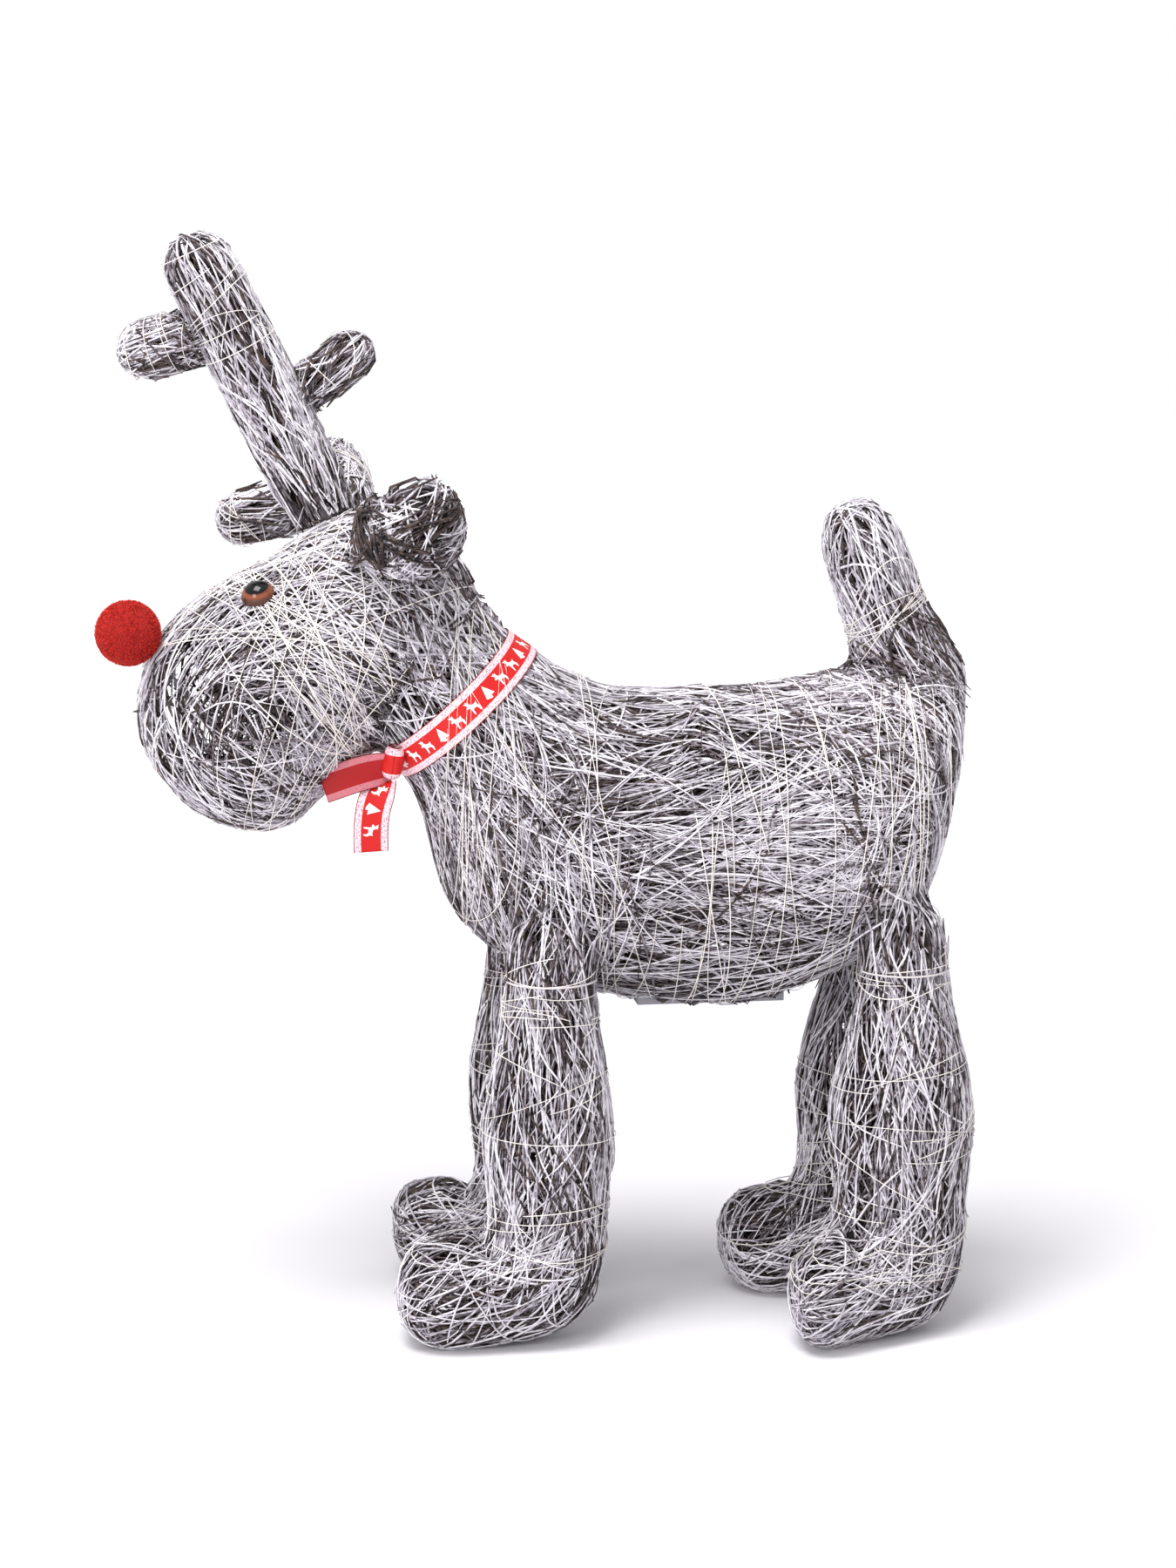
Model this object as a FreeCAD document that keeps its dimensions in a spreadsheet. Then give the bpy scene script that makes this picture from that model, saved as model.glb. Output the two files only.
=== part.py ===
import FreeCAD, Part
import math
import os
import re
import Sketcher

Vector = FreeCAD.Vector
Rotation = FreeCAD.Rotation
Placement = FreeCAD.Placement

# A standing reindeer made of painted twigs wound over a welded wire frame. Millimetres, +Z up.
# The nose points to -X and the reindeer's left side to -Y. The feet stand on Z = 0.
doc = FreeCAD.newDocument("yard_reindeer")

# ---------------------------------------------------------------- driving sizes
SIZES = {
    # places of the whole figure in its frame
    "figure_shift": 1.2,
    "figure_aside": -64.35,
    # wound twig walls, frame wire and the room left between pieces that touch
    "twig_wall": 7,
    "limb_wall": 5,
    "seat_gap": 0.3,
    "frame_wire": 3,
    "wire_lift": 18,
    "hoop_slack": 0.8,
    "spine_deep": 17,
    "tie_wire": 1.2,
    "tie_span": 150,
    # trunk: barrel of the body, rump, chest and neck
    "leg_base": 215,
    "leg_spread": 112,
    "barrel_middle": 288.5,
    "barrel_tall": 192,
    "barrel_wide": 160,
    "chest_tall": 191,
    "chest_lean": 34,
    "throat_tall": 154,
    "throat_wide": 134,
    "neck_tall": 106,
    "neck_wide": 98,
    "neck_taper": 0.3,
    "neck_plug": 42,
    "plug_lean": 60,
    "neck_lean": 44,
    "neck_reach": 122,
    "rump_reach": 47,
    # legs and feet
    "leg_top": 270,
    "tie_height": 224,
    "leg_top_wide": 54,
    "calf_height": 126,
    "calf_wide": 79,
    "hind_calf_wide": 88,
    "ankle_height": 82,
    "ankle_wide": 70,
    "hind_ankle_wide": 79,
    "foot_length": 126,
    "foot_tall": 72,
    "sole_flat": 2.5,
    "front_left_toe_out": 0,
    "front_right_toe_out": 22,
    "front_left_step": 3,
    "front_right_step": 0,
    "front_right_back": 2,
    "hind_left_step": 0,
    "hind_right_back": 8,
    "hind_right_step": 20,
    "hind_right_inward": 36,
    "hind_left_toe_out": 30,
    "hind_right_toe_out": -8,
    # tail
    "tail_wide": 66,
    "tail_tip_wide": 44,
    "tail_length": 124,
    "tail_lean": 19.5,
    # head: muzzle and skull are two balls under one skin; it is turned, nodded and tilted
    "head_ahead": 58,
    "head_aside": 12,
    "head_above": 47.5,
    "head_turn": 8,
    "head_nod": 26,
    "head_tilt": 37,
    "muzzle_wide": 148,
    "skull_wide": 126,
    "face_length": 78,
    "muzzle_droop": 18,
    "chin_rise": 6,
    "skull_sink": 3,
    # antlers
    "left_antler_splay": 40,
    "right_antler_splay": 37,
    "antler_length": 187,
    "antler_wide": 44,
    "antler_side": 18,
    "antler_rise": 42,
    "left_antler_back": 10,
    "right_antler_back": 6,
    "antler_bury": 4,
    "left_front_tine": 53,
    "right_front_tine": 65,
    "front_tine_wide": 36,
    "left_front_height": 0.785,
    "right_front_height": 0.765,
    "left_rear_tine": 57,
    "right_rear_tine": 57,
    "rear_tine_wide": 31,
    "left_rear_height": 0.48,
    "right_rear_height": 0.47,
    "left_front_rise": 14,
    "left_rear_rise": 14,
    "right_front_rise": 14,
    "right_rear_rise": -25,
    # ears
    "ear_back": 19,
    "ear_side": 60,
    "ear_rise": 7,
    "ear_lean": 24,
    "ear_root_wide": 12,
    "ear_length": 76,
    "ear_wide": 62,
    "ear_wall": 5,
    "ear_mouth": 40,
    "left_ear_droop": 15,
    "right_ear_droop": -25,
    "left_ear_out": 18,
    "right_ear_out": 62,
    # eyes and nose
    "eye_wide": 20,
    "eye_dome": 8,
    "eye_shank": 4,
    "shank_spare": 4,
    "eye_along": 42,
    "eye_angle": 14,
    "washer_wide": 15,
    "washer_thick": 1.5,
    "washer_play": 0.8,
    "nose_wide": 40,
    "nose_rise": 42.0,
    "nose_aside": 47.8,
    "nose_cord": 2,
    "cord_knot_wide": 6,
    "cord_knot_deep": 4,
    # ribbon
    "ribbon_wide": 21,
    "ribbon_thick": 0.8,
    "knot_wide": 19,
    "knot_tall": 30,
    "knot_thick": 14,
    "knot_side": 20,
    "knot_lift": 3,
    "long_tail": 31,
    "long_tail_aside": 12,
    "short_tail": 30,
    "short_tail_aside": 3.2,
    "short_tail_drop": -3,
    # light set in the belly
    "cell_wide": 14.5,
    "cell_length": 50.5,
    "cell_play": 0.5,
    "cell_nub": 1,
    "case_wall": 2,
    "case_lift": 6,
    "mouth_reach": 20,
    "contact_room": 6.5,
    "contact_thick": 0.4,
    "contact_flat": 2,
    "boss_long": 7,
    "switch_bay": 14,
    "cover_thick": 2.5,
    "cover_gap": 0.4,
    "pin_wide": 2,
    "pin_play": 0.15,
    "knuckle_wide": 5,
    "screw_wide": 3,
    "screw_head": 1.2,
    "screw_deep": 7,
    "switch_travel": 4,
    "switch_wide": 4,
    "knob_stands": 1.5,
    "board_thick": 1.6,
    "lamp_wide": 5,
    "lamp_gap": 0.4,
    "lead_wide": 2,
}
sheet = doc.addObject("Spreadsheet::Sheet", "Sizes")
for row, (alias, value) in enumerate(SIZES.items(), 1):
    sheet.set(f"A{row}", alias)
    sheet.set(f"B{row}", str(value))
    sheet.setAlias(f"B{row}", alias)
doc.recompute()


def size(alias):
    """The number that the sheet holds under this name."""
    return float(sheet.get(alias))


def sized(formula):
    """The formula with each size's name written the way an expression reads it."""
    return re.sub(r"[a-z]+(?:_[a-z]+)+", lambda word: "Sizes." + word.group(0), formula)


def worth(formula):
    """The value of a formula of sizes."""
    return float(sheet.evalExpression(sized(formula)))


# ---------------------------------------------------------------- shared ways of making
OVAL_POINTS = 12
OVAL_KNOTS = [1] * (OVAL_POINTS + 1), list(range(OVAL_POINTS + 1))
parts = []


def keep(piece, label, placement=None):
    """Names a finished piece and puts it in its place."""
    piece.Label = label
    if placement is not None:
        piece.Placement = placement
    parts.append(piece)
    return piece


def new_body(name):
    return doc.addObject("PartDesign::Body", name)


def outline(body, name, plane, corners, lift=None):
    """A closed outline on one of the body's own planes.

    Each corner is (across, up) and, where the edge that leaves it is a round stretch, a third
    entry gives the across and up of that arc's middle. Every number is a formula of sizes.
    """
    sketch = body.newObject("Sketcher::SketchObject", name)
    origin_plane = next(f for f in body.Origin.OriginFeatures if f.Role == plane)
    sketch.AttachmentSupport = [(origin_plane, "")]
    sketch.MapMode = "FlatFace"
    if lift is not None:
        sketch.setExpression("AttachmentOffset.Base.z", sized(lift))
    spots = [Vector(worth(c[0]), worth(c[1]), 0) for c in corners]
    edges = []
    for i, corner in enumerate(corners):
        start = spots[i]
        end = spots[(i + 1) % len(spots)]
        if len(corner) > 2:
            middle = Vector(worth(corner[2]), worth(corner[3]), 0)
            arc = arc_between(start, end, middle, corner[4])
            edges.append(sketch.addGeometry(arc, False))
        else:
            edges.append(sketch.addGeometry(Part.LineSegment(start, end), False))
    for i, corner in enumerate(corners):
        first = arc_ends(corner)[0]
        last = arc_ends(corners[i - 1])[1]
        joined = Sketcher.Constraint("Coincident", edges[i - 1], last, edges[i], first)
        sketch.addConstraint(joined)
        fix(sketch, f"across_{i}", "DistanceX", edges[i], first, corner[0])
        fix(sketch, f"up_{i}", "DistanceY", edges[i], first, corner[1])
    for i, corner in enumerate(corners):
        if len(corner) > 2:
            level = abs(spots[i].y - spots[(i + 1) % len(spots)].y) < 1e-6
            if level:
                fix(sketch, f"middle_{i}", "DistanceY", edges[i], 3, corner[3])
            else:
                fix(sketch, f"middle_{i}", "DistanceX", edges[i], 3, corner[2])
    return sketch


def arc_ends(corner):
    """Which point numbers of an edge are its first and last: an arc drawn clockwise has them swapped."""
    if len(corner) > 2 and corner[4] == "clockwise":
        return 2, 1
    return 1, 2


def arc_between(start, end, middle, turn):
    """An arc of a circle about middle, from start to end, turning the way that is named."""
    circle = Part.Circle(middle, Vector(0, 0, 1), (start - middle).Length)
    first, last = (end, start) if turn == "clockwise" else (start, end)
    begin = math.atan2(first.y - middle.y, first.x - middle.x)
    finish = math.atan2(last.y - middle.y, last.x - middle.x)
    if finish <= begin:
        finish += 2 * math.pi
    return Part.ArcOfCircle(circle, begin, finish)


def fix(sketch, name, kind, edge, point, formula):
    """Ties one coordinate of a sketch point to a formula of sizes."""
    number = sketch.addConstraint(Sketcher.Constraint(kind, -1, 1, edge, point, worth(formula)))
    sketch.renameConstraint(number, name)
    sketch.setExpression("Constraints." + name, sized(formula))


def disc(body, name, plane, across, up, wide, lift=None):
    """A sketched circle on one of the body's planes; across, up and wide are formulas of sizes."""
    sketch = body.newObject("Sketcher::SketchObject", name)
    origin_plane = next(f for f in body.Origin.OriginFeatures if f.Role == plane)
    sketch.AttachmentSupport = [(origin_plane, "")]
    sketch.MapMode = "FlatFace"
    if lift is not None:
        sketch.setExpression("AttachmentOffset.Base.z", sized(lift))
    radius = worth(wide) / 2
    spot = Vector(worth(across), worth(up), 0)
    circle = sketch.addGeometry(Part.Circle(spot, Vector(0, 0, 1), radius), False)
    fix(sketch, "across", "DistanceX", circle, 3, across)
    fix(sketch, "up", "DistanceY", circle, 3, up)
    number = sketch.addConstraint(Sketcher.Constraint("Diameter", circle, 2 * radius))
    sketch.renameConstraint(number, "wide")
    sketch.setExpression("Constraints.wide", sized(wide))
    return sketch


def turned(body, name, corners):
    """Turns an outline a full circle about the body's own X axis."""
    sketch = outline(body, name + "_outline", "XZ_Plane", corners)
    turn = body.newObject("PartDesign::Revolution", name)
    turn.Profile = sketch
    turn.ReferenceAxis = (sketch, ["H_Axis"])
    turn.Angle = 360
    return turn


def padded(body, name, plane, corners, length, lift=None, both_ways=False):
    """A block of the outline's form, as long as the formula says."""
    sketch = outline(body, name + "_outline", plane, corners, lift)
    pad = body.newObject("PartDesign::Pad", name)
    pad.Profile = sketch
    pad.setExpression("Length", sized(length))
    pad.Midplane = both_ways
    return pad


def pocketed(body, name, plane, corners, depth, lift=None, both_ways=False, backwards=False):
    """A hollow of the outline's form, sunk as deep as the formula says."""
    sketch = outline(body, name + "_outline", plane, corners, lift)
    pocket = body.newObject("PartDesign::Pocket", name)
    pocket.Profile = sketch
    pocket.setExpression("Length", sized(depth))
    pocket.Midplane = both_ways
    pocket.Reversed = backwards
    return pocket


def box_corners(left, right, low, high):
    return [(left, low), (right, low), (right, high), (left, high)]


def round_bar(length, wide, wall, root="0"):
    """Corners of half a round-ended tube's wall along X: closed and domed at its far end."""
    return [
        (root, f"{wide} / 2 - {wall}"),
        (f"{length}", f"{wide} / 2 - {wall}", f"{length}", "0", "clockwise"),
        (f"{length} + {wide} / 2 - {wall}", "0"),
        (f"{length} + {wide} / 2", "0", f"{length}", "0", "counter"),
        (f"{length}", f"{wide} / 2"),
        (root, f"{wide} / 2"),
    ]


def oval(middle, heading, tall, wide):
    """Control points of an oval across a limb or trunk that heads to -X, and down by its heading.

    They stand a little outside the oval, so that the curve that they hold has the width and
    height that are asked for.
    """
    step = 2 * math.pi / OVAL_POINTS
    outside = 3 / (2 + math.cos(step))
    place = Placement(middle, Rotation(Vector(0, 1, 0), -heading))
    return [
        place.multVec(Vector(0, math.cos(i * step) * wide, math.sin(i * step) * tall) * (outside / 2))
        for i in range(OVAL_POINTS)
    ]


def ahead(heading):
    """The direction of a heading: 0 is to the nose, 90 straight down."""
    angle = math.radians(heading)
    return Vector(-math.cos(angle), 0, -math.sin(angle))


def upright(heading):
    """The direction square to a heading that is up for a level one."""
    angle = math.radians(heading)
    return Vector(-math.sin(angle), 0, math.cos(angle))


def spacing(stations):
    """How far each station stands from the first, measured over the surface."""
    along = [0.0]
    for (spot, _, tall, wide), (next_spot, _, next_tall, next_wide) in zip(stations, stations[1:]):
        run = (next_spot - spot).Length
        along.append(along[-1] + math.hypot(run, (next_tall - tall) / 2, (next_wide - wide) / 2))
    return along


def end_face(points):
    """The flat face inside an oval."""
    curve = Part.BSplineCurve()
    curve.buildFromPolesMultsKnots(points, OVAL_KNOTS[0], OVAL_KNOTS[1], True, 3)
    return Part.Face(Part.Wire([curve.toShape()]))


def skinned(stations, grow=0.0):
    """The smooth surface through the stations' ovals, with the first and the last of them.

    A station is (middle, heading, tall, wide). The surface is moved outwards by grow, or inwards
    where it is less than nothing.
    """
    rings = [oval(spot, heading, tall + 2 * grow, wide + 2 * grow) for spot, heading, tall, wide in stations]
    first_way = ahead(stations[0][1]) * grow
    last_way = ahead(stations[-1][1]) * grow
    rings[0] = [point - first_way for point in rings[0]]
    rings[-1] = [point + last_way for point in rings[-1]]
    along = spacing(stations)
    lines = []
    for column in zip(*rings):
        line = Part.BSplineCurve()
        line.interpolate(Points=list(column), Parameters=along)
        lines.append(line)
    surface = Part.BSplineSurface()
    surface.buildFromPolesMultsKnots(
        [line.getPoles() for line in lines],
        OVAL_KNOTS[0],
        lines[0].getMultiplicities(),
        OVAL_KNOTS[1],
        lines[0].getKnots(),
        True,
        False,
        3,
        3,
    )
    return surface, rings[0], rings[-1]


def hull(stations, grow=0.0):
    """The solid inside a skinned surface, with flat ends."""
    surface, first, last = skinned(stations, grow)
    shell = Part.makeShell([surface.toShape(), end_face(first), end_face(last)])
    shell.sewShape()
    solid = Part.makeSolid(shell.Shells[0])
    if solid.Volume < 0:
        solid.reverse()
    return solid


def wound(name, stations, wall):
    """The wall of twigs that is wound over a hull's form, hollow inside."""
    outer = hull(stations).Shells[0]
    inner = hull(stations, -wall).Shells[0]
    return shape_piece(name, Part.makeSolid(Part.Compound([outer, inner.reversed()])))


def cut(name, base, tool):
    """The base with the tool's room taken out of it."""
    feature = doc.addObject("Part::Cut", name)
    feature.Base = base
    feature.Tool = tool
    return feature


def common(name, base, tool):
    feature = doc.addObject("Part::Common", name)
    feature.Base = base
    feature.Tool = tool
    return feature


def route(points, share=0.45):
    """A path of straight runs joined by tangent arcs, each as large as its two runs allow."""
    edges = []
    start = points[0]
    for before, corner, after in zip(points, points[1:], points[2:]):
        back = before - corner
        onward = after - corner
        reach = share * min(back.Length, onward.Length)
        enter = corner + back.normalize() * reach
        leave = corner + onward.normalize() * reach
        bisector = (enter + leave) * 0.5 - corner
        half_turn = math.pi / 2 - back.getAngle(onward) / 2
        radius = reach / math.tan(half_turn)
        middle = corner + bisector.normalize() * (radius / math.cos(half_turn) - radius)
        edges.append(Part.LineSegment(start, enter).toShape())
        edges.append(Part.Arc(enter, middle, leave).toShape())
        start = leave
    edges.append(Part.LineSegment(start, points[-1]).toShape())
    return Part.Wire(edges)


def tube(points, wide, share=0.45):
    """A round wire along a route."""
    path = route(points, share) if len(points) > 2 else Part.Wire([Part.LineSegment(*points).toShape()])
    start = path.Edges[0].tangentAt(path.Edges[0].FirstParameter)
    ring = Part.Wire([Part.Circle(points[0], start, wide / 2).toShape()])
    return path.makePipeShell([ring], True, True)


def hoop(middle, heading, tall, wide, thick):
    """A round wire bent to an oval of four tangent arcs, across a heading."""
    half_tall = tall / 2
    half_wide = wide / 2
    small = 0.8 * half_wide
    rise = half_tall - small
    large = (half_wide**2 + rise**2 - small**2) / (2 * (half_wide - small))
    lean = math.atan2(rise, large - half_wide)
    side = Vector(0, small * math.cos(lean), rise + small * math.sin(lean))
    corners = [
        side,
        Vector(0, 0, half_tall),
        Vector(0, -side.y, side.z),
        Vector(0, -half_wide, 0),
        Vector(0, -side.y, -side.z),
        Vector(0, 0, -half_tall),
        Vector(0, side.y, -side.z),
        Vector(0, half_wide, 0),
    ]
    arcs = []
    for i in range(0, 8, 2):
        arcs.append(Part.Arc(corners[i], corners[i + 1], corners[(i + 2) % 8]).toShape())
    path = Part.Wire(arcs)
    tangent = arcs[0].tangentAt(arcs[0].FirstParameter)
    ring = Part.Wire([Part.Circle(side, tangent, thick / 2).toShape()])
    wire = path.makePipeShell([ring], True, True)
    if wire.Volume < 0:
        wire.reverse()
    wire.Placement = Placement(middle, Rotation(Vector(0, 1, 0), -heading))
    return wire


def shape_piece(name, shape):
    feature = doc.addObject("Part::Feature", name)
    feature.Shape = shape
    return feature


SEAT = size("seat_gap")
WALL = size("twig_wall")


def at(x, y, z):
    """A place in the figure's frame, measured from the ground between the front legs."""
    return Vector(x + size("figure_shift"), y + size("figure_aside"), z)


def pointed(spot, direction):
    """A placement that carries a piece made along its own X to a spot, pointing that way."""
    return Placement(spot, Rotation(Vector(1, 0, 0), direction))


# ---------------------------------------------------------------- trunk: body, chest and neck
base = size("leg_base")
tall = size("barrel_tall")
wide = size("barrel_wide")
middle = size("barrel_middle")
reach = size("rump_reach")
neck_way = ahead(-size("neck_lean"))
chest = at(0.176 * base, 0, middle + 0.06 * tall)
throat = chest + neck_way * (0.455 * size("neck_reach")) - Vector(0.06, 0, 0.035) * size("neck_reach")
neck = chest + neck_way * size("neck_reach")
plug = neck + (neck_way + Vector(0, 0, 0.25)) * size("neck_plug")


def neck_station(along):
    """An oval of the neck, this far on from where the ribbon is tied."""
    narrower = size("neck_taper") * along
    neck_heading = -size("neck_lean") - 3
    return neck + neck_way * along, neck_heading, size("neck_tall") - narrower, size("neck_wide") - narrower


TRUNK = [
    (at(base + 0.95 * reach, 0, middle + 0.35 * tall), -6, 0.16 * tall, 0.16 * wide),
    (at(base + 0.85 * reach, 0, middle + 0.32 * tall), -6, 0.42 * tall, 0.42 * wide),
    (at(base + 0.57 * reach, 0, middle + 0.24 * tall), -2, 0.69 * tall, 0.70 * wide),
    (at(base + 0.15 * reach, 0, middle + 0.16 * tall), 0, 0.87 * tall, 0.93 * wide),
    (at(0.85 * base, 0, middle + 0.09 * tall), 0, 0.96 * tall, 1.02 * wide),
    (at(0.57 * base, 0, middle + 0.015 * tall), 0, 1.02 * tall, wide),
    (at(0.34 * base, 0, middle + 0.035 * tall), -0.5 * size("chest_lean"), 1.02 * tall, 1.02 * wide),
    (chest + upright(-size("chest_lean")) * (0.016 * tall), -size("chest_lean"), size("chest_tall"), wide),
    (throat, -size("neck_lean") + 2, size("throat_tall"), size("throat_wide")),
    neck_station(-0.6 * size("ribbon_wide")),
    neck_station(0),
    neck_station(0.6 * size("ribbon_wide")),
    (plug, -size("plug_lean"), 0.91 * size("neck_tall"), 0.91 * size("neck_wide")),
]
LOIN, SHOULDER, CHEST, COLLAR = 4, 6, 7, 10
trunk_shell = wound("trunk_shell", TRUNK, WALL)
trunk_room = shape_piece("trunk_room", hull(TRUNK, SEAT))

# ---------------------------------------------------------------- head: where it sits on the neck
head_turn = Rotation(-size("head_turn"), -size("head_nod"), -size("head_tilt"))
skull_middle = neck + Vector(-size("head_ahead"), size("head_aside"), size("head_above"))
droop = math.radians(size("muzzle_droop"))
face_way = Vector(math.cos(droop), 0, math.sin(droop))
face = size("face_length")
muzzle = size("muzzle_wide")
skull = size("skull_wide")
chin = size("chin_rise")
muzzle_middle = skull_middle - head_turn.multVec(face_way) * face
head_place = Placement(muzzle_middle, head_turn)
face_place = head_place.multiply(pointed(Vector(0, 0, 0), face_way))


def ball(x, z, wide, angles):
    """Ovals of a ball that is centred on the face's own line, at these angles from its back."""
    stations = []
    for angle in angles:
        turn = math.radians(angle)
        stations.append(
            (Vector(x + wide / 2 * math.cos(turn), 0, z), 0, wide * math.sin(turn), wide * math.sin(turn))
        )
    return stations


# The head's stations, in its own frame: X runs back from the middle of the muzzle to the skull.
HEAD = [
    *ball(1.12 * face, -size("skull_sink"), skull, (15, 36, 60, 88)),
    (Vector(0.66 * face, 0, 0.2 * chin), 0, 0.87 * muzzle, 0.91 * muzzle),
    (Vector(0.40 * face, 0, 0.8 * chin), 0, 0.89 * muzzle, 0.97 * muzzle),
    (Vector(0.08 * face, 0, chin), 0, 0.91 * muzzle, muzzle),
    (Vector(-0.17 * face, 0, 0.9 * chin), 0, 0.91 * muzzle, 0.98 * muzzle),
    (Vector(-0.37 * face, 0, 0.3 * chin), 0, 0.90 * muzzle, 0.92 * muzzle),
    *ball(0, 0, muzzle, (130, 149, 166)),
]
JAW, MUZZLE = 6, 8
head_shell = wound("head_shell", HEAD, WALL)
head_room = shape_piece("head_room", hull(HEAD, SEAT))
for piece in (head_shell, head_room):
    piece.Placement = face_place
head_skin = skinned(HEAD)[0]


def on_head(x, y, z):
    """The nearest place on the head's skin to one in the face's frame, facing straight out of it.

    The head's two sides mirror each other, so a place on the right is found on the left.
    """
    across, along = head_skin.parameter(Vector(x, -abs(y), z))
    spot = head_skin.value(across, along)
    outward = head_skin.normal(across, along)
    if outward.dot(Vector(0, -abs(y), z)) < 0:
        outward = -outward
    if y > 0:
        spot.y = -spot.y
        outward.y = -outward.y
    return face_place.multiply(pointed(spot + outward * SEAT, outward))


# ---------------------------------------------------------------- frame wire: welded, inside the twigs
def bore(name, start, end, thick):
    """The round room that a wire needs where it goes straight through a twig wall."""
    run = end - start
    return shape_piece(name, Part.makeCylinder(thick / 2 + SEAT, run.Length, start, run))


frame_wire = size("frame_wire")
inside = WALL + frame_wire / 2 + 2 * SEAT
tail_heading = -90 + size("tail_lean")
tail_way = ahead(tail_heading)
tail_root = at(base + 0.33 * reach, 0, middle + 0.5 * tall)
tail_end = tail_root + tail_way * size("tail_length")


def under_top(station):
    """A place under the top of a station of the trunk, with room for the spine beside a hoop."""
    spot, heading, station_tall, _ = TRUNK[station]
    return spot + upright(heading) * (station_tall / 2 - size("spine_deep"))


spine_points = [
    neck + neck_way * (1.45 * size("neck_plug")),
    neck - neck_way * size("ribbon_wide"),
    under_top(CHEST),
    under_top(SHOULDER - 1),
    tail_root - tail_way * (0.5 * size("tail_length")),
    tail_end - tail_way * (2 * size("limb_wall")),
]
spine_wire = shape_piece("spine_wire", tube(spine_points, frame_wire))
neck_bore = bore("neck_bore", neck, spine_points[0], frame_wire)
tail_bore = bore("tail_bore", tail_root - tail_way * WALL, tail_root + tail_way * (6 * WALL), frame_wire)


def body_hoop(station):
    """A hoop welded up to lie against the inside of the twig wall at a station of the trunk."""
    spot, heading, hoop_tall, hoop_wide = TRUNK[station]
    less = 2 * (inside + size("hoop_slack"))
    return hoop(spot, heading, hoop_tall - less, hoop_wide - less, frame_wire)


body_hoops = shape_piece("body_hoops", Part.makeCompound([body_hoop(LOIN), body_hoop(SHOULDER)]))


# ---------------------------------------------------------------- legs: one wound sock each
def foot_spot(name, x, side, z):
    """The middle of a leg at this height: a leg that steps out leans on its way down."""
    down = 1 - z / size("leg_top")
    step = size(f"{name}_step") * down
    inward = size("hind_right_inward") * down if name == "hind_right" else 0
    return at(x - step, side - inward, z)


def leg_stations(name, x, side):
    """Ovals of a leg from its top down to the ankle, round the heel and on to the toe."""
    hind = name.startswith("hind")
    calf = size("hind_calf_wide" if hind else "calf_wide")
    ankle = size("hind_ankle_wide" if hind else "ankle_wide")
    foot = size("foot_length")
    foot_tall = size("foot_tall")
    top = size("leg_top")
    top_wide = size("leg_top_wide")
    knee = 0.55 * size("tie_height") + 0.45 * size("calf_height")
    toe = foot - ankle / 2
    turn = math.radians(size(f"{name}_toe_out"))
    toe_way = Vector(-math.cos(turn), math.copysign(math.sin(turn), side), 0)

    def spot(forward, z):
        return foot_spot(name, x, side, z) + toe_way * forward - Vector(0, 0, size("sole_flat"))

    return [
        (spot(0, top), 90, 0.30 * top_wide, 0.30 * top_wide),
        (spot(0, top - 0.13 * top_wide), 90, 0.72 * top_wide, 0.72 * top_wide),
        (spot(0, size("tie_height")), 90, top_wide, top_wide),
        (spot(0, knee), 90, 0.82 * calf, 0.82 * calf),
        (spot(0, size("calf_height")), 90, calf, 0.94 * calf),
        (spot(0, size("ankle_height")), 86, 1.02 * ankle, ankle),
        (spot(0.10 * foot, 0.56 * foot_tall), 48, 1.10 * ankle, ankle),
        (spot(0.36 * foot, 0.49 * foot_tall), 6, 0.98 * foot_tall, ankle),
        (spot(toe - 0.34 * ankle, 0.47 * foot_tall), 2, 0.94 * foot_tall, 0.98 * ankle),
        (spot(toe - 0.13 * ankle, 0.46 * foot_tall), 2, 0.76 * foot_tall, 0.80 * ankle),
        (spot(toe - 0.03 * ankle, 0.45 * foot_tall), 2, 0.46 * foot_tall, 0.52 * ankle),
        (spot(toe, 0.45 * foot_tall), 2, 0.18 * foot_tall, 0.20 * ankle),
    ]


def leg_wire(pair, x):
    """One wire for a pair of legs: up one leg, across inside the trunk, down the other."""
    side = size("leg_spread") / 2
    foot = size("wire_lift")
    shoulder = size("barrel_middle") + 0.18 * size("barrel_tall")
    right_x = x + size(pair + "_right_back")
    wire_hole = frame_wire + 2 * SEAT
    points = [
        foot_spot(pair + "_left", x, -side, foot),
        foot_spot(pair + "_left", x, -side, shoulder),
        foot_spot(pair + "_right", right_x, side, shoulder),
        foot_spot(pair + "_right", right_x, side, foot),
    ]
    leg_bores[pair + "_left"] = bore(pair + "_left_bore", points[0], points[1], wire_hole)
    leg_bores[pair + "_right"] = bore(pair + "_right_bore", points[3], points[2], wire_hole)
    return shape_piece(pair + "_leg_wire", tube(points, frame_wire, 0.3))


leg_bores = {}
front_leg_wire = leg_wire("front", 0)
hind_leg_wire = leg_wire("hind", base)
wide_ground = 10 * base
ground_corner = Vector(-wide_ground / 2, -wide_ground / 2, -base)
ground = shape_piece("ground", Part.makeBox(wide_ground, wide_ground, base, ground_corner))


def leg(name, x, side):
    """A leg hull, open where it meets the trunk and flat under the sole."""
    shell = wound(name + "_shell", leg_stations(name, x, side), size("limb_wall"))
    seated = cut(name + "_seated", shell, trunk_room)
    bored = cut(name + "_bored", seated, leg_bores[name])
    label = name + "_leg"
    return keep(cut(label, bored, ground), label)


half_spread = size("leg_spread") / 2
LEG_PLACES = (
    ("front_left", 0, -half_spread),
    ("front_right", size("front_right_back"), half_spread),
    ("hind_left", base, -half_spread),
    ("hind_right", base + size("hind_right_back"), half_spread),
)
for leg_place in LEG_PLACES:
    leg(*leg_place)

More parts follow.
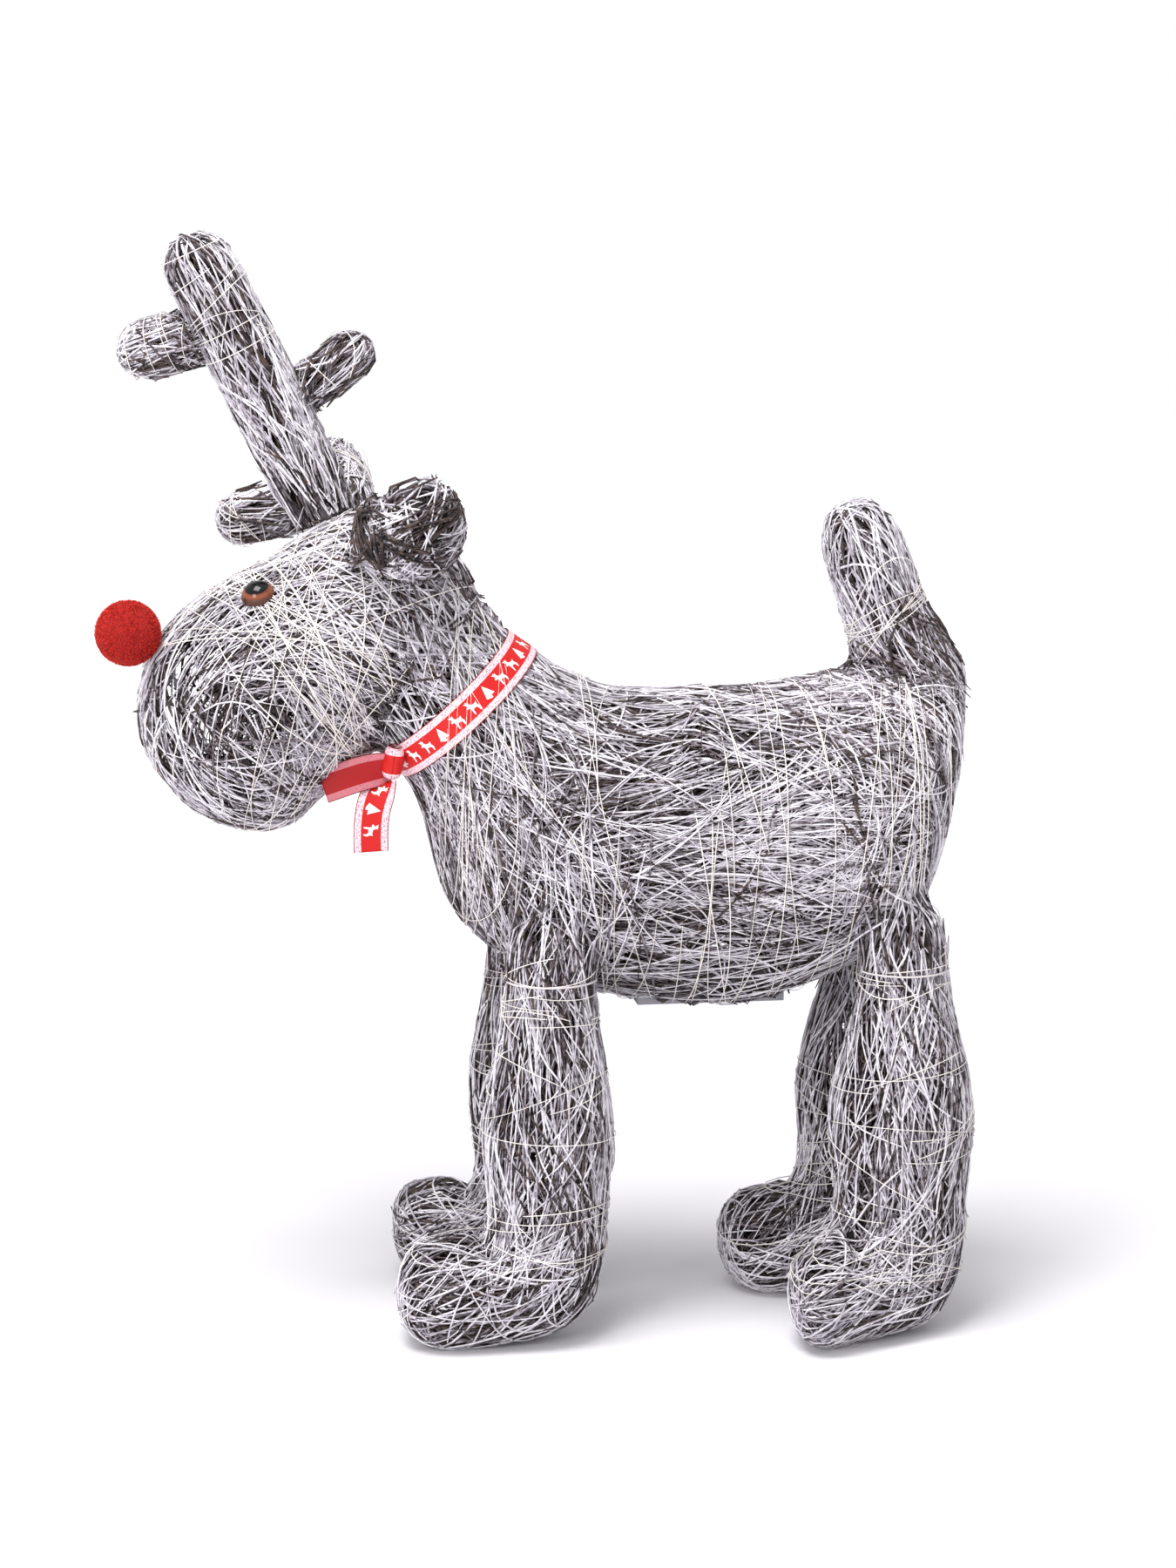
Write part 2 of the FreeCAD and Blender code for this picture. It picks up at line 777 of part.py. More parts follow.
# ---------------------------------------------------------------- tail
tail_wide = size("tail_wide")
tip_wide = size("tail_tip_wide")
tail_seat = tail_root - tail_way * (0.45 * tail_wide) - Vector(0.08 * tail_wide, 0, 0)
TAIL = [
    (tail_seat, tail_heading, 0.80 * tail_wide, tail_wide),
    (tail_root, tail_heading, 1.04 * tail_wide, tail_wide),
    (tail_root + tail_way * (0.40 * size("tail_length")), tail_heading, 0.79 * tail_wide, 0.82 * tail_wide),
    (tail_end - tail_way * (0.5 * tip_wide), tail_heading, 1.08 * tip_wide, 1.08 * tip_wide),
    (tail_end - tail_way * (0.16 * tip_wide), tail_heading, 0.80 * tip_wide, 0.80 * tip_wide),
    (tail_end, tail_heading, 0.30 * tip_wide, 0.30 * tip_wide),
]
tail_shell = wound("tail_shell", TAIL, size("limb_wall"))
keep(cut("tail", tail_shell, trunk_room), "tail")

# ---------------------------------------------------------------- antlers: a beam and two tines a side
antler_wide = size("antler_wide")


def bar(name, length, thick, wall, place):
    """A round-ended wound tube from its root at the place, pointing along the place's X."""
    body = new_body(name)
    turned(body, name + "_turn", round_bar(length, thick, wall))
    body.Placement = place
    return body


def solid_bar(name, length, thick, place):
    body = new_body(name)
    corners = [
        ("0", "0"),
        ("0", f"{thick} / 2"),
        (length, f"{thick} / 2", length, "0", "clockwise"),
        (f"{length} + {thick} / 2", "0"),
    ]
    turned(body, name + "_turn", corners)
    body.Placement = place
    return body


def in_head(x, y, z):
    """A place measured in the head's own frame from the middle of the skull."""
    return head_place.multVec(face_way * face + Vector(x, y, z))


antler_bores = []


def antler(side_name, side):
    """One antler: the beam stands on the skull, its tines stand on the beam."""
    splay = math.radians(size(side_name + "_antler_splay"))
    beam_way = Vector(0, side * math.sin(splay), math.cos(splay))
    root = Vector(size(side_name + "_antler_back"), side * size("antler_side"), size("antler_rise"))
    start = in_head(*root)
    way = head_turn.multVec(beam_way)
    place = pointed(start, way)
    beam = bar(side_name + "_beam_bar", "antler_length", "antler_wide", "limb_wall", place)
    beam_room = solid_bar(side_name + "_beam_room", "antler_length", "(antler_wide + 2 * seat_gap)", place)
    wire_start = start + way * size("antler_bury")
    wire_end = start + way * (size("antler_length") + antler_wide / 2 - size("limb_wall") - SEAT)
    wire = shape_piece(side_name + "_antler_wire", tube([wire_start, wire_end], frame_wire))
    keep(wire, side_name + "_antler_wire")
    antler_bores.append(bore(side_name + "_antler_bore", wire_start - way, wire_end, frame_wire))
    keep(cut(side_name + "_antler_beam", beam, head_room), side_name + "_antler_beam")
    for name, ahead_sign in (("front", -1), ("rear", 1)):
        label = f"{side_name}_{name}"
        rise = math.radians(size(label + "_rise"))
        tine_way = head_turn.multVec(Vector(ahead_sign * math.cos(rise), 0, math.sin(rise)))
        spot = start + way * (size(label + "_height") * size("antler_length"))
        tine_place = pointed(spot, tine_way)
        tine = bar(label + "_bar", label + "_tine", name + "_tine_wide", "limb_wall", tine_place)
        keep(cut(label + "_tine", tine, beam_room), label + "_tine")


antler("left", -1)
antler("right", 1)

# ---------------------------------------------------------------- ears: a pouch with an open top
EAR_POUCH = "(ear_length - ear_wide / 2)"


def ear(side_name, side):
    """A wound pouch gathered at its root, with a round mouth in its upper side."""
    out = math.radians(size(side_name + "_ear_out"))
    droop = math.radians(size(side_name + "_ear_droop"))
    lean = math.radians(size("ear_lean"))
    way = Vector(math.cos(out) * math.cos(droop), side * math.sin(out), -math.cos(out) * math.sin(droop))
    root = Vector(size("ear_back"), side * size("ear_side"), size("ear_rise"))
    outer = "(ear_wide / 2)"
    inner = "(ear_wide / 2 - ear_wall)"
    slope = f"((ear_wide - ear_root_wide) / 2 / {EAR_POUCH})"
    level = f"sqrt(1 - {slope}^2)"
    body = new_body(side_name + "_ear_pouch")
    corners = [
        ("0", "1"),
        ("0", "ear_root_wide / 2"),
        (f"{EAR_POUCH} - {outer} * {slope}", f"{outer} * {level}", EAR_POUCH, "0", "clockwise"),
        (f"{EAR_POUCH} + {outer}", "0"),
        (f"{EAR_POUCH} + {inner}", "0", EAR_POUCH, "0", "counter"),
        (f"{EAR_POUCH} - {inner} * {slope}", f"{inner} * {level}"),
    ]
    turned(body, side_name + "_ear_turn", corners)
    mouth = new_body(side_name + "_ear_mouth")
    mouth_pad = mouth.newObject("PartDesign::Pad", side_name + "_mouth_pad")
    mouth_pad.Profile = disc(
        mouth, side_name + "_mouth_outline", "XY_Plane", EAR_POUCH + " - 0.05 * ear_mouth", "0", "ear_mouth"
    )
    mouth_pad.setExpression("Length", "Sizes.ear_wide")
    mouth_way = head_turn.multVec(Vector(0, side * math.sin(lean), math.cos(lean)))
    turn = Rotation(head_turn.multVec(way), Vector(0, 0, 0), mouth_way, "XZY")
    place = Placement(in_head(*root), turn)
    body.Placement = place
    mouth.Placement = place
    opened = cut(side_name + "_ear_open", body, mouth)
    return keep(cut(side_name + "_ear", opened, head_room), side_name + "_ear")


ear("left", -1)
ear("right", 1)

# ---------------------------------------------------------------- eyes: a domed button on a shank, locked inside
def eye(side_name, side):
    """A round eye on the cheek, square to it, with its washer behind the twig wall."""
    around = math.radians(size("eye_angle"))
    cheek = size("muzzle_wide") / 2
    place = on_head(size("eye_along"), side * cheek * math.cos(around), cheek * math.sin(around))
    button = new_body(side_name + "_eye")
    shank = "(twig_wall + washer_thick + shank_spare)"
    ball = "((eye_wide^2 / 4 + eye_dome^2) / (2 * eye_dome))"
    turned(
        button,
        side_name + "_eye_turn",
        [
            (f"0 - {shank}", "0"),
            (f"0 - {shank}", "eye_shank / 2"),
            ("0", "eye_shank / 2"),
            ("0", "eye_wide / 2", f"eye_dome - {ball}", "0", "clockwise"),
            ("eye_dome", "0"),
        ],
    )
    keep(button, side_name + "_eye", place)
    washer = new_body(side_name + "_eye_washer")
    back = "(twig_wall + washer_play + washer_thick)"
    turned(
        washer,
        side_name + "_washer_turn",
        [
            (f"0 - {back}", "eye_shank / 2 + seat_gap"),
            (f"0 - {back}", "washer_wide / 2"),
            (f"washer_thick - {back}", "washer_wide / 2"),
            (f"washer_thick - {back}", "eye_shank / 2 + seat_gap"),
        ],
    )
    keep(washer, side_name + "_eye_washer", place)
    outer_end = place.multVec(Vector(size("shank_spare"), 0, 0))
    inner_end = place.multVec(Vector(-3 * WALL, 0, 0))
    return bore(side_name + "_eye_bore", outer_end, inner_end, size("eye_shank"))


eye_bores = [eye("left", -1), eye("right", 1)]

# ---------------------------------------------------------------- nose: a pom-pom tied through the muzzle
nose_rise = math.radians(size("nose_rise"))
nose_aside = math.radians(size("nose_aside"))
nose_way = Vector(
    -math.cos(nose_rise) * math.cos(nose_aside), -math.sin(nose_aside), math.sin(nose_rise) * math.cos(nose_aside)
)
nose_aim = face_place.inverse().multiply(head_place).multVec(nose_way * muzzle)
nose_place = on_head(nose_aim.x, nose_aim.y, nose_aim.z)
pompom = new_body("nose_ball")
turned(
    pompom,
    "nose_turn",
    [
        ("0", "0", "nose_wide / 2", "0", "clockwise"),
        ("nose_wide", "0"),
    ],
)
pompom.Placement = nose_place
TIE_END = "(0.7 * nose_wide)"
KNOT_FACE = "(0 - twig_wall - 4 * seat_gap)"
nose_start = nose_place.multVec(Vector(worth(f"{KNOT_FACE} - cord_knot_deep"), 0, 0))
nose_end = nose_place.multVec(Vector(worth(TIE_END) + SEAT, 0, 0))
nose_bore = bore("nose_bore", nose_start, nose_end, size("nose_cord"))
keep(cut("pompom_nose", pompom, nose_bore), "pompom_nose")
nose_tie = new_body("nose_tie")
turned(
    nose_tie,
    "nose_tie_turn",
    [
        (f"{KNOT_FACE} - cord_knot_deep", "0"),
        (f"{KNOT_FACE} - cord_knot_deep", "cord_knot_wide / 2"),
        (KNOT_FACE, "cord_knot_wide / 2"),
        (KNOT_FACE, "nose_cord / 2"),
        (TIE_END, "nose_cord / 2"),
        (TIE_END, "0"),
    ],
)
keep(nose_tie, "nose_tie", nose_place)

# ---------------------------------------------------------------- head wall and its frame
head_wall = head_shell
for hole in (trunk_room, *antler_bores, *eye_bores, nose_bore):
    head_wall = cut("head_less_" + hole.Name, head_wall, hole)
keep(head_wall, "head")


def head_hoop(name, station):
    """A round hoop inside the twig wall at a station of the head."""
    spot, _, station_tall, _ = HEAD[station]
    share = station_tall / muzzle
    ring = doc.addObject("Part::Torus", name)
    across = f"{share} * muzzle_wide / 2 - twig_wall - 2 * seat_gap - hoop_slack"
    ring.setExpression("Radius1", sized(across + " - frame_wire / 2"))
    ring.setExpression("Radius2", sized("frame_wire / 2"))
    ring.Placement = face_place.multiply(Placement(spot, Rotation(Vector(0, 1, 0), 90)))
    return ring


head_frame = doc.addObject("Part::Compound", "head_hoops")
head_frame.Links = [head_hoop("jaw_hoop", JAW), head_hoop("muzzle_hoop", MUZZLE)]
keep(head_frame, "head_hoops")
keep(body_hoops, "body_hoops")
keep(spine_wire, "spine_wire")
keep(front_leg_wire, "front_leg_wire")
keep(hind_leg_wire, "hind_leg_wire")

# ---------------------------------------------------------------- ribbon: tied round the neck
RIBBON = size("ribbon_thick")
across_neck = TRUNK[COLLAR][1]
ribbon_way = ahead(across_neck)
ribbon_slab = shape_piece(
    "ribbon_slab",
    Part.makeCylinder(
        size("neck_tall"), size("ribbon_wide"), neck - ribbon_way * (size("ribbon_wide") / 2), ribbon_way
    ),
)
ribbon_outer = shape_piece("ribbon_outer", hull(TRUNK, SEAT + RIBBON))
ribbon_ring = common("ribbon_ring", ribbon_outer, ribbon_slab)
ribbon_seated = cut("ribbon_seated", ribbon_ring, trunk_room)
keep(cut("ribbon_collar", ribbon_seated, head_room), "ribbon_collar")

down = upright(across_neck) * -1
knot_side = size("knot_side")
throat_deep = size("neck_tall") / 2 * math.sqrt(1 - (2 * knot_side / size("neck_wide")) ** 2)
knot_out = down * (4 * throat_deep / size("neck_tall") ** 2) - Vector(
    0, 4 * knot_side / size("neck_wide") ** 2, 0
)
knot_out.normalize()
knot_seat = neck + down * throat_deep - Vector(0, knot_side, 0) + knot_out * (RIBBON + size("knot_lift"))
KNOT_RISE = "(knot_tall / 2 - knot_wide / 2)"
knot = new_body("knot")
knot_block = padded(
    knot,
    "knot_block",
    "YZ_Plane",
    [
        ("0 - knot_wide / 2", f"0 - {KNOT_RISE}", "0", f"0 - {KNOT_RISE}", "counter"),
        ("knot_wide / 2", f"0 - {KNOT_RISE}"),
        ("knot_wide / 2", KNOT_RISE, "0", KNOT_RISE, "counter"),
        ("0 - knot_wide / 2", KNOT_RISE),
    ],
    "knot_thick",
)
doc.recompute()
far = knot_block.Shape.BoundBox.XMax
outer_edges = []
for number, edge in enumerate(knot_block.Shape.Edges, 1):
    if min(corner.X for corner in edge.Vertexes) > far - SEAT:
        outer_edges.append(f"Edge{number}")
knot_round = knot.newObject("PartDesign::Fillet", "knot_round")
knot_round.Base = (knot_block, outer_edges)
knot_round.setExpression("Radius", sized("0.4 * knot_thick"))
knot_place = Placement(knot_seat, Rotation(knot_out, Vector(0, 0, 0), Vector(0, 0, 1), "XZY"))
knot.Placement = knot_place
keep(cut("ribbon_knot", knot, head_room), "ribbon_knot")


def ribbon_tail(label, length, spot, way, face):
    """A free end of the ribbon: a gently bowed strip that leaves the knot."""
    strip = new_body(label + "_bow")
    bow = f"({length} * 3)"
    level = f"sqrt({bow}^2 - {length}^2)"
    inner = f"({bow} - ribbon_thick)"
    padded(
        strip,
        label + "_strip",
        "XZ_Plane",
        [
            ("0", f"0 - {bow}"),
            ("0", f"0 - {bow} + ribbon_thick"),
            (length, f"0 - sqrt(({bow} - ribbon_thick)^2 - {length}^2)"),
            (length, f"0 - {level}"),
        ],
        "ribbon_wide",
        both_ways=True,
    )
    top = worth(f"{length} * 3")
    turn = Rotation(way, Vector(0, 0, 0), face, "XZY")
    strip.Placement = Placement(spot + turn.multVec(Vector(0, 0, top)), turn)
    return strip


knot_front = knot_seat + knot_out * (0.45 * size("knot_thick"))
hang = knot_front - Vector(size("long_tail_aside"), 0, size("knot_tall") / 2 + SEAT)
keep(
    ribbon_tail("ribbon_long_tail", "long_tail", hang, Vector(-0.06, 0, -1), Vector(0, -1, 0)),
    "ribbon_long_tail",
)
aside = size("knot_wide") / 2 + size("short_tail_aside")
drop = size("short_tail_drop")
short_tail = ribbon_tail(
    "ribbon_short_tail",
    "short_tail",
    knot_front + Vector(-aside, drop, -drop),
    Vector(-0.9, 0.25, -0.35),
    Vector(0, -1, 0.2),
)
keep(cut("ribbon_short_tail", short_tail, head_room), "ribbon_short_tail")

# ---------------------------------------------------------------- battery case, let into the belly
# Its frame has its origin in the middle of the cell bay on the cover's outer face.
case_place = Placement(at(0.53 * base, 0, middle - tall / 2 + size("case_lift")), Rotation())
BAY = "(cell_length + 2 * contact_room)"
BAY_WIDE = "(3 * cell_wide + 4 * cell_play)"
BAY_DEEP = "(cover_thick + cover_gap + cell_wide + cell_play)"
CASE_RIGHT = f"({BAY} / 2 + case_wall)"
BOSS_LEFT = f"(0 - {BAY} / 2 - boss_long)"
SWITCH_RIGHT = f"({BOSS_LEFT} - case_wall)"
CASE_LEFT = f"({SWITCH_RIGHT} - switch_bay - case_wall)"
CASE_SIDE = f"({BAY_WIDE} / 2 + case_wall)"
HINGE_X = f"({BAY} / 2 - cover_gap - knuckle_wide / 2)"
SCREW_X = f"({BOSS_LEFT} + boss_long / 2 + 0.5)"
SWITCH_X = f"({SWITCH_RIGHT} - switch_bay / 2)"


def drilled(body, name, sketch, depth, both_ways=False):
    """A round hole upwards from the sketch, or out both ways from it."""
    hole = body.newObject("PartDesign::Pocket", name)
    hole.Profile = sketch
    hole.setExpression("Length", sized(depth))
    hole.Midplane = both_ways
    hole.Reversed = not both_ways
    return hole


case = new_body("battery_case")
padded(case, "case_block", "XY_Plane", box_corners(CASE_LEFT, CASE_RIGHT, f"0 - {CASE_SIDE}", CASE_SIDE),
       f"{BAY_DEEP} + case_wall")
pocketed(case, "cover_recess", "XY_Plane",
         box_corners(BOSS_LEFT, f"{BAY} / 2", f"0 - {BAY_WIDE} / 2", f"{BAY_WIDE} / 2"),
         "cover_thick + cover_gap", backwards=True)
pocketed(case, "cell_bay", "XY_Plane",
         box_corners(f"0 - {BAY} / 2", f"{BAY} / 2", f"0 - {BAY_WIDE} / 2", f"{BAY_WIDE} / 2"),
         BAY_DEEP, backwards=True)
pocketed(case, "switch_room", "XY_Plane",
         box_corners(f"{CASE_LEFT} + case_wall", SWITCH_RIGHT, f"0 - {BAY_WIDE} / 2", f"{BAY_WIDE} / 2"),
         BAY_DEEP, lift="case_wall", backwards=True)
pocketed(case, "switch_slot", "XY_Plane",
         box_corners(f"{SWITCH_X} - switch_wide / 2 - seat_gap", f"{SWITCH_X} + switch_wide / 2 + seat_gap",
                     "0 - switch_wide / 2 - seat_gap", "switch_wide / 2 + switch_travel + seat_gap"),
         "case_wall", backwards=True)
drilled(case, "pin_holes",
        disc(case, "pin_circle", "XZ_Plane", HINGE_X, "knuckle_wide / 2", "pin_wide + 2 * pin_play"),
        f"2 * {CASE_SIDE} + 1", both_ways=True)
drilled(case, "screw_hole",
        disc(case, "screw_circle", "XY_Plane", SCREW_X, "0", "screw_wide + 2 * cover_gap"),
        "cover_thick + screw_deep + 1")
keep(case, "battery_case", case_place)

cover = new_body("battery_cover")
padded(cover, "cover_plate", "XY_Plane",
       box_corners(f"{BOSS_LEFT} + cover_gap", HINGE_X,
                   f"cover_gap - {BAY_WIDE} / 2", f"{BAY_WIDE} / 2 - cover_gap"),
       "cover_thick")
barrel = cover.newObject("PartDesign::Pad", "cover_barrel")
barrel.Profile = disc(cover, "barrel_circle", "XZ_Plane", HINGE_X, "knuckle_wide / 2", "knuckle_wide")
barrel.setExpression("Length", sized(f"{BAY_WIDE} - 2 * cover_gap"))
barrel.Midplane = True
drilled(cover, "barrel_bore",
        disc(cover, "bore_circle", "XZ_Plane", HINGE_X, "knuckle_wide / 2", "pin_wide + 2 * pin_play"),
        f"{BAY_WIDE} + 1", both_ways=True)
drilled(cover, "screw_way",
        disc(cover, "way_circle", "XY_Plane", SCREW_X, "0", "screw_wide + 2 * pin_play"),
        "cover_thick + 1")
keep(cover, "battery_cover", case_place)

pin = new_body("hinge_pin")
pin_rod = pin.newObject("PartDesign::Pad", "pin_rod")
pin_rod.Profile = disc(pin, "rod_circle", "XZ_Plane", HINGE_X, "knuckle_wide / 2", "pin_wide")
pin_rod.setExpression("Length", sized(f"2 * {CASE_SIDE} - seat_gap"))
pin_rod.Midplane = True
keep(pin, "hinge_pin", case_place)

screw = new_body("cover_screw")
screw_head = screw.newObject("PartDesign::Pad", "screw_head_pad")
screw_head.Profile = disc(
    screw, "head_circle", "XY_Plane", SCREW_X, "0", "2 * screw_wide", "0 - screw_head - seat_gap"
)
screw_head.setExpression("Length", sized("screw_head"))
screw_shank = screw.newObject("PartDesign::Pad", "screw_shank")
screw_shank.Profile = disc(screw, "shank_circle", "XY_Plane", SCREW_X, "0", "screw_wide", "0 - seat_gap")
screw_shank.setExpression("Length", sized("cover_thick + screw_deep"))
keep(screw, "cover_screw", case_place)

CELL_RISE = "(cover_thick + cover_gap + cell_wide / 2)"
cells = []
for i in (-1, 0, 1):
    cell = new_body(f"cell_{i + 2}")
    turned(
        cell,
        f"cell_turn_{i + 2}",
        [
            ("0 - cell_length / 2", "0"),
            ("0 - cell_length / 2", "cell_wide / 2"),
            ("cell_length / 2 - cell_nub", "cell_wide / 2"),
            ("cell_length / 2 - cell_nub", "cell_wide / 5"),
            ("cell_length / 2", "cell_wide / 5"),
            ("cell_length / 2", "0"),
        ],
    )
    cell.Placement = case_place.multiply(
        Placement(Vector(0, i * worth("cell_wide + cell_play"), worth(CELL_RISE)), Rotation(Vector(1, 0, 0), 0))
    )
    cells.append(cell)
battery_cells = doc.addObject("Part::Compound", "battery_cells")
battery_cells.Links = cells
keep(battery_cells, "battery_cells")


def leaf(number, end, row):
    """A bowed leaf of spring brass between the end wall of the bay and a cell."""
    body = new_body(f"leaf_{number}")
    bow = "(contact_room - 2 * seat_gap - contact_thick)"
    half = "(cell_wide * 0.3)"
    flat = "(contact_flat / 2)"
    padded(
        body,
        f"leaf_strip_{number}",
        "XZ_Plane",
        [
            ("0", f"0 - {half}"),
            (f"0 - {bow}", f"0 - {flat}"),
            (f"0 - {bow}", flat),
            ("0", half),
            ("contact_thick", half),
            (f"contact_thick - {bow}", flat),
            (f"contact_thick - {bow}", f"0 - {flat}"),
            ("contact_thick", f"0 - {half}"),
        ],
        "0.6 * cell_wide",
        both_ways=True,
    )
    x = worth(f"{BAY} / 2 - seat_gap - contact_thick")
    spot = Vector(end * x, row * worth("cell_wide + cell_play"), worth(CELL_RISE + " + contact_flat / 2"))
    turn = Rotation(Vector(0, 0, 1), 0 if end > 0 else 180)
    body.Placement = case_place.multiply(Placement(spot, turn))
    return body


contacts = doc.addObject("Part::Compound", "contact_springs")
contacts.Links = [leaf(2 * row + 3 + (end > 0), end, row) for row in (-1, 0, 1) for end in (-1, 1)]
keep(contacts, "contact_springs")

board = new_body("timer_board")
padded(board, "board_plate", "XY_Plane",
       box_corners(f"{CASE_LEFT} + case_wall + seat_gap", f"{SWITCH_RIGHT} - seat_gap",
                   f"seat_gap - {BAY_WIDE} / 2", f"{BAY_WIDE} / 2 - seat_gap"),
       "board_thick", lift="case_wall + switch_wide / 2 + 2 * seat_gap")
keep(board, "timer_board", case_place)

slider = new_body("switch_slider")
padded(slider, "slider_flange", "XY_Plane",
       box_corners(f"{SWITCH_X} - switch_wide", f"{SWITCH_X} + switch_wide", "0 - switch_wide", "switch_wide"),
       "switch_wide / 2", lift="case_wall + seat_gap")
padded(slider, "slider_knob", "XY_Plane",
       box_corners(f"{SWITCH_X} - switch_wide / 2", f"{SWITCH_X} + switch_wide / 2",
                   "0 - switch_wide / 2", "switch_wide / 2"),
       "case_wall + seat_gap + knob_stands", lift="0 - knob_stands")
keep(slider, "switch_slider", case_place)

# ---------------------------------------------------------------- lamps on their lead, inside the trunk
lead_wide = size("lead_wide")
board_top = worth("case_wall + switch_wide / 2 + 3 * seat_gap + board_thick")
lead_start = case_place.multVec(Vector(worth(SWITCH_X), 0, board_top))
# Corners of the lead as shares of the body: along its length, across half of it, up its height.
ROUTE = [
    (0.00, 0.00, 0.00),
    (0.02, 0.00, 0.18),
    (-0.10, -0.30, 0.36),
    (0.06, -0.58, 0.55),
    (0.30, -0.62, 0.66),
    (0.55, -0.60, 0.60),
    (0.76, -0.34, 0.52),
    (0.78, 0.20, 0.50),
    (0.56, 0.58, 0.58),
    (0.30, 0.64, 0.66),
    (0.06, 0.58, 0.60),
    (-0.10, 0.34, 0.72),
    (-0.18, 0.04, 0.74),
]
lead_points = [lead_start + Vector(x * base, y * wide / 2, z * tall) for x, y, z in ROUTE]
light_lead = shape_piece("light_lead", tube(lead_points, lead_wide))
keep(light_lead, "light_lead")
lamp_lift = size("lamp_wide") / 2 + lead_wide / 2 + size("lamp_gap")
lamps = []
for before, after in zip(lead_points[2:], lead_points[3:]):
    run = (after - before).normalize()
    up = (Vector(0, 0, 1) - run * run.z).normalize()
    lamps.append(Part.makeSphere(size("lamp_wide") / 2, (before + after) * 0.5 + up * lamp_lift))
keep(shape_piece("light_lamps", Part.makeCompound(lamps)), "light_lamps")

# ---------------------------------------------------------------- trunk wall, opened for what passes through it
mouth = new_body("case_mouth")
padded(mouth, "mouth_block", "XY_Plane",
       box_corners(f"{CASE_LEFT} - seat_gap", f"{CASE_RIGHT} + seat_gap",
                   f"0 - {CASE_SIDE} - seat_gap", f"{CASE_SIDE} + seat_gap"),
       f"{BAY_DEEP} + case_wall + case_lift + seat_gap + mouth_reach", lift="0 - case_lift - mouth_reach")
mouth.Placement = case_place
trunk_wall = trunk_shell
for hole in (neck_bore, tail_bore, *leg_bores.values(), mouth):
    trunk_wall = cut("trunk_less_" + hole.Name, trunk_wall, hole)
keep(trunk_wall, "trunk")


# ---------------------------------------------------------------- ties: fine wire bound round the leg tops
def tie(name, x, side):
    """Tie wire round the outer side of a leg; its ends go in under the trunk's twigs."""
    ring = doc.addObject("Part::Torus", name + "_tie")
    ring.setExpression("Radius1", sized("leg_top_wide / 2 + seat_gap + tie_wire / 2"))
    ring.setExpression("Radius2", sized("tie_wire / 2"))
    ring.setExpression("Angle3", sized("tie_span"))
    outward = math.copysign(90, side)
    middle = foot_spot(name, x, side, size("tie_height"))
    ring.Placement = Placement(middle, Rotation(Vector(0, 0, 1), outward - size("tie_span") / 2))
    return ring


leg_ties = doc.addObject("Part::Compound", "leg_ties")
leg_ties.Links = [tie(*leg_place) for leg_place in LEG_PLACES]
keep(leg_ties, "leg_ties")

doc.recompute()

# ---------------------------------------------------------------- test every piece, then write it
for thing in doc.Objects:
    if "Invalid" in thing.State or "Error" in thing.State:
        raise RuntimeError(f"{thing.Label} could not be made")
for piece in parts:
    if piece.Shape.isNull() or not piece.Shape.isValid() or not piece.Shape.Solids:
        raise RuntimeError(f"{piece.Label} is not a sound solid")

os.makedirs("parts", exist_ok=True)
for piece in parts:
    piece.Shape.exportStep(f"parts/{piece.Label}.step")
    print(piece.Label, len(piece.Shape.Solids), round(piece.Shape.Volume))
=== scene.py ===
import math
import random

import bpy
import bmesh
import numpy as np
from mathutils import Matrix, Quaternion, Vector, geometry, noise
from mathutils.bvhtree import BVHTree


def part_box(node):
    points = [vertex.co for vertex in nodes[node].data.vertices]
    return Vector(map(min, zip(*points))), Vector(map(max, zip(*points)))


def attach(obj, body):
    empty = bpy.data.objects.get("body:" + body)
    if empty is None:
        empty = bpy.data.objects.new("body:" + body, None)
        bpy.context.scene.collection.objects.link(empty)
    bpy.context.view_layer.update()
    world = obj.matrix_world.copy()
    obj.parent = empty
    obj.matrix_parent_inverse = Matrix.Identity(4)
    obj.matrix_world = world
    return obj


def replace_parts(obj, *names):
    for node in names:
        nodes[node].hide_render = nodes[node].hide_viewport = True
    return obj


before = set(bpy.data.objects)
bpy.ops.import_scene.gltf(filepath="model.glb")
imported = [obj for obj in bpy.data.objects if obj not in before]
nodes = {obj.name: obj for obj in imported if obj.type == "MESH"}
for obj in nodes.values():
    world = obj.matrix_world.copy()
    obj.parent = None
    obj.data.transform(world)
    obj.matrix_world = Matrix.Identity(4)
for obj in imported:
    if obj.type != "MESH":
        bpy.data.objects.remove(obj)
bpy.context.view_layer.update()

# ---------------------------------------------------------------- bent wire frame
# Mild steel wire, powder coated grey before the twigs are wound on. It is bent to the line of
# the back and the legs, with hoops that hold the hollow forms open.


def colour(code):
    """A linear colour with alpha from six hex figures in sRGB."""
    parts = [int(code[i : i + 2], 16) / 255 for i in (0, 2, 4)]
    return [p / 12.92 if p < 0.04045 else ((p + 0.055) / 1.055) ** 2.4 for p in parts] + [1.0]


def add(tree, kind, inputs=None, **settings):
    """Adds a shader node. An input's value is a constant or another node's output."""
    made = tree.nodes.new(kind)
    for name, value in settings.items():
        setattr(made, name, value)
    for name, value in (inputs or {}).items():
        socket = made.inputs[name]
        if isinstance(value, bpy.types.NodeSocket):
            tree.links.new(value, socket)
        else:
            socket.default_value = value
    return made


def material(name, build):
    """A material whose surface inputs come from build, which may add shader nodes first."""
    made = bpy.data.materials.new(name)
    made.use_nodes = True
    tree = made.node_tree
    tree.nodes.clear()
    surface = add(tree, "ShaderNodeBsdfPrincipled", build(tree))
    add(tree, "ShaderNodeOutputMaterial", {"Surface": surface.outputs[0]})
    return made


def plain(name, code, roughness, more=None):
    """A material of one even colour. more gives its other surface inputs."""
    return material(name, lambda tree: {"Base Color": colour(code), "Roughness": roughness, **(more or {})})


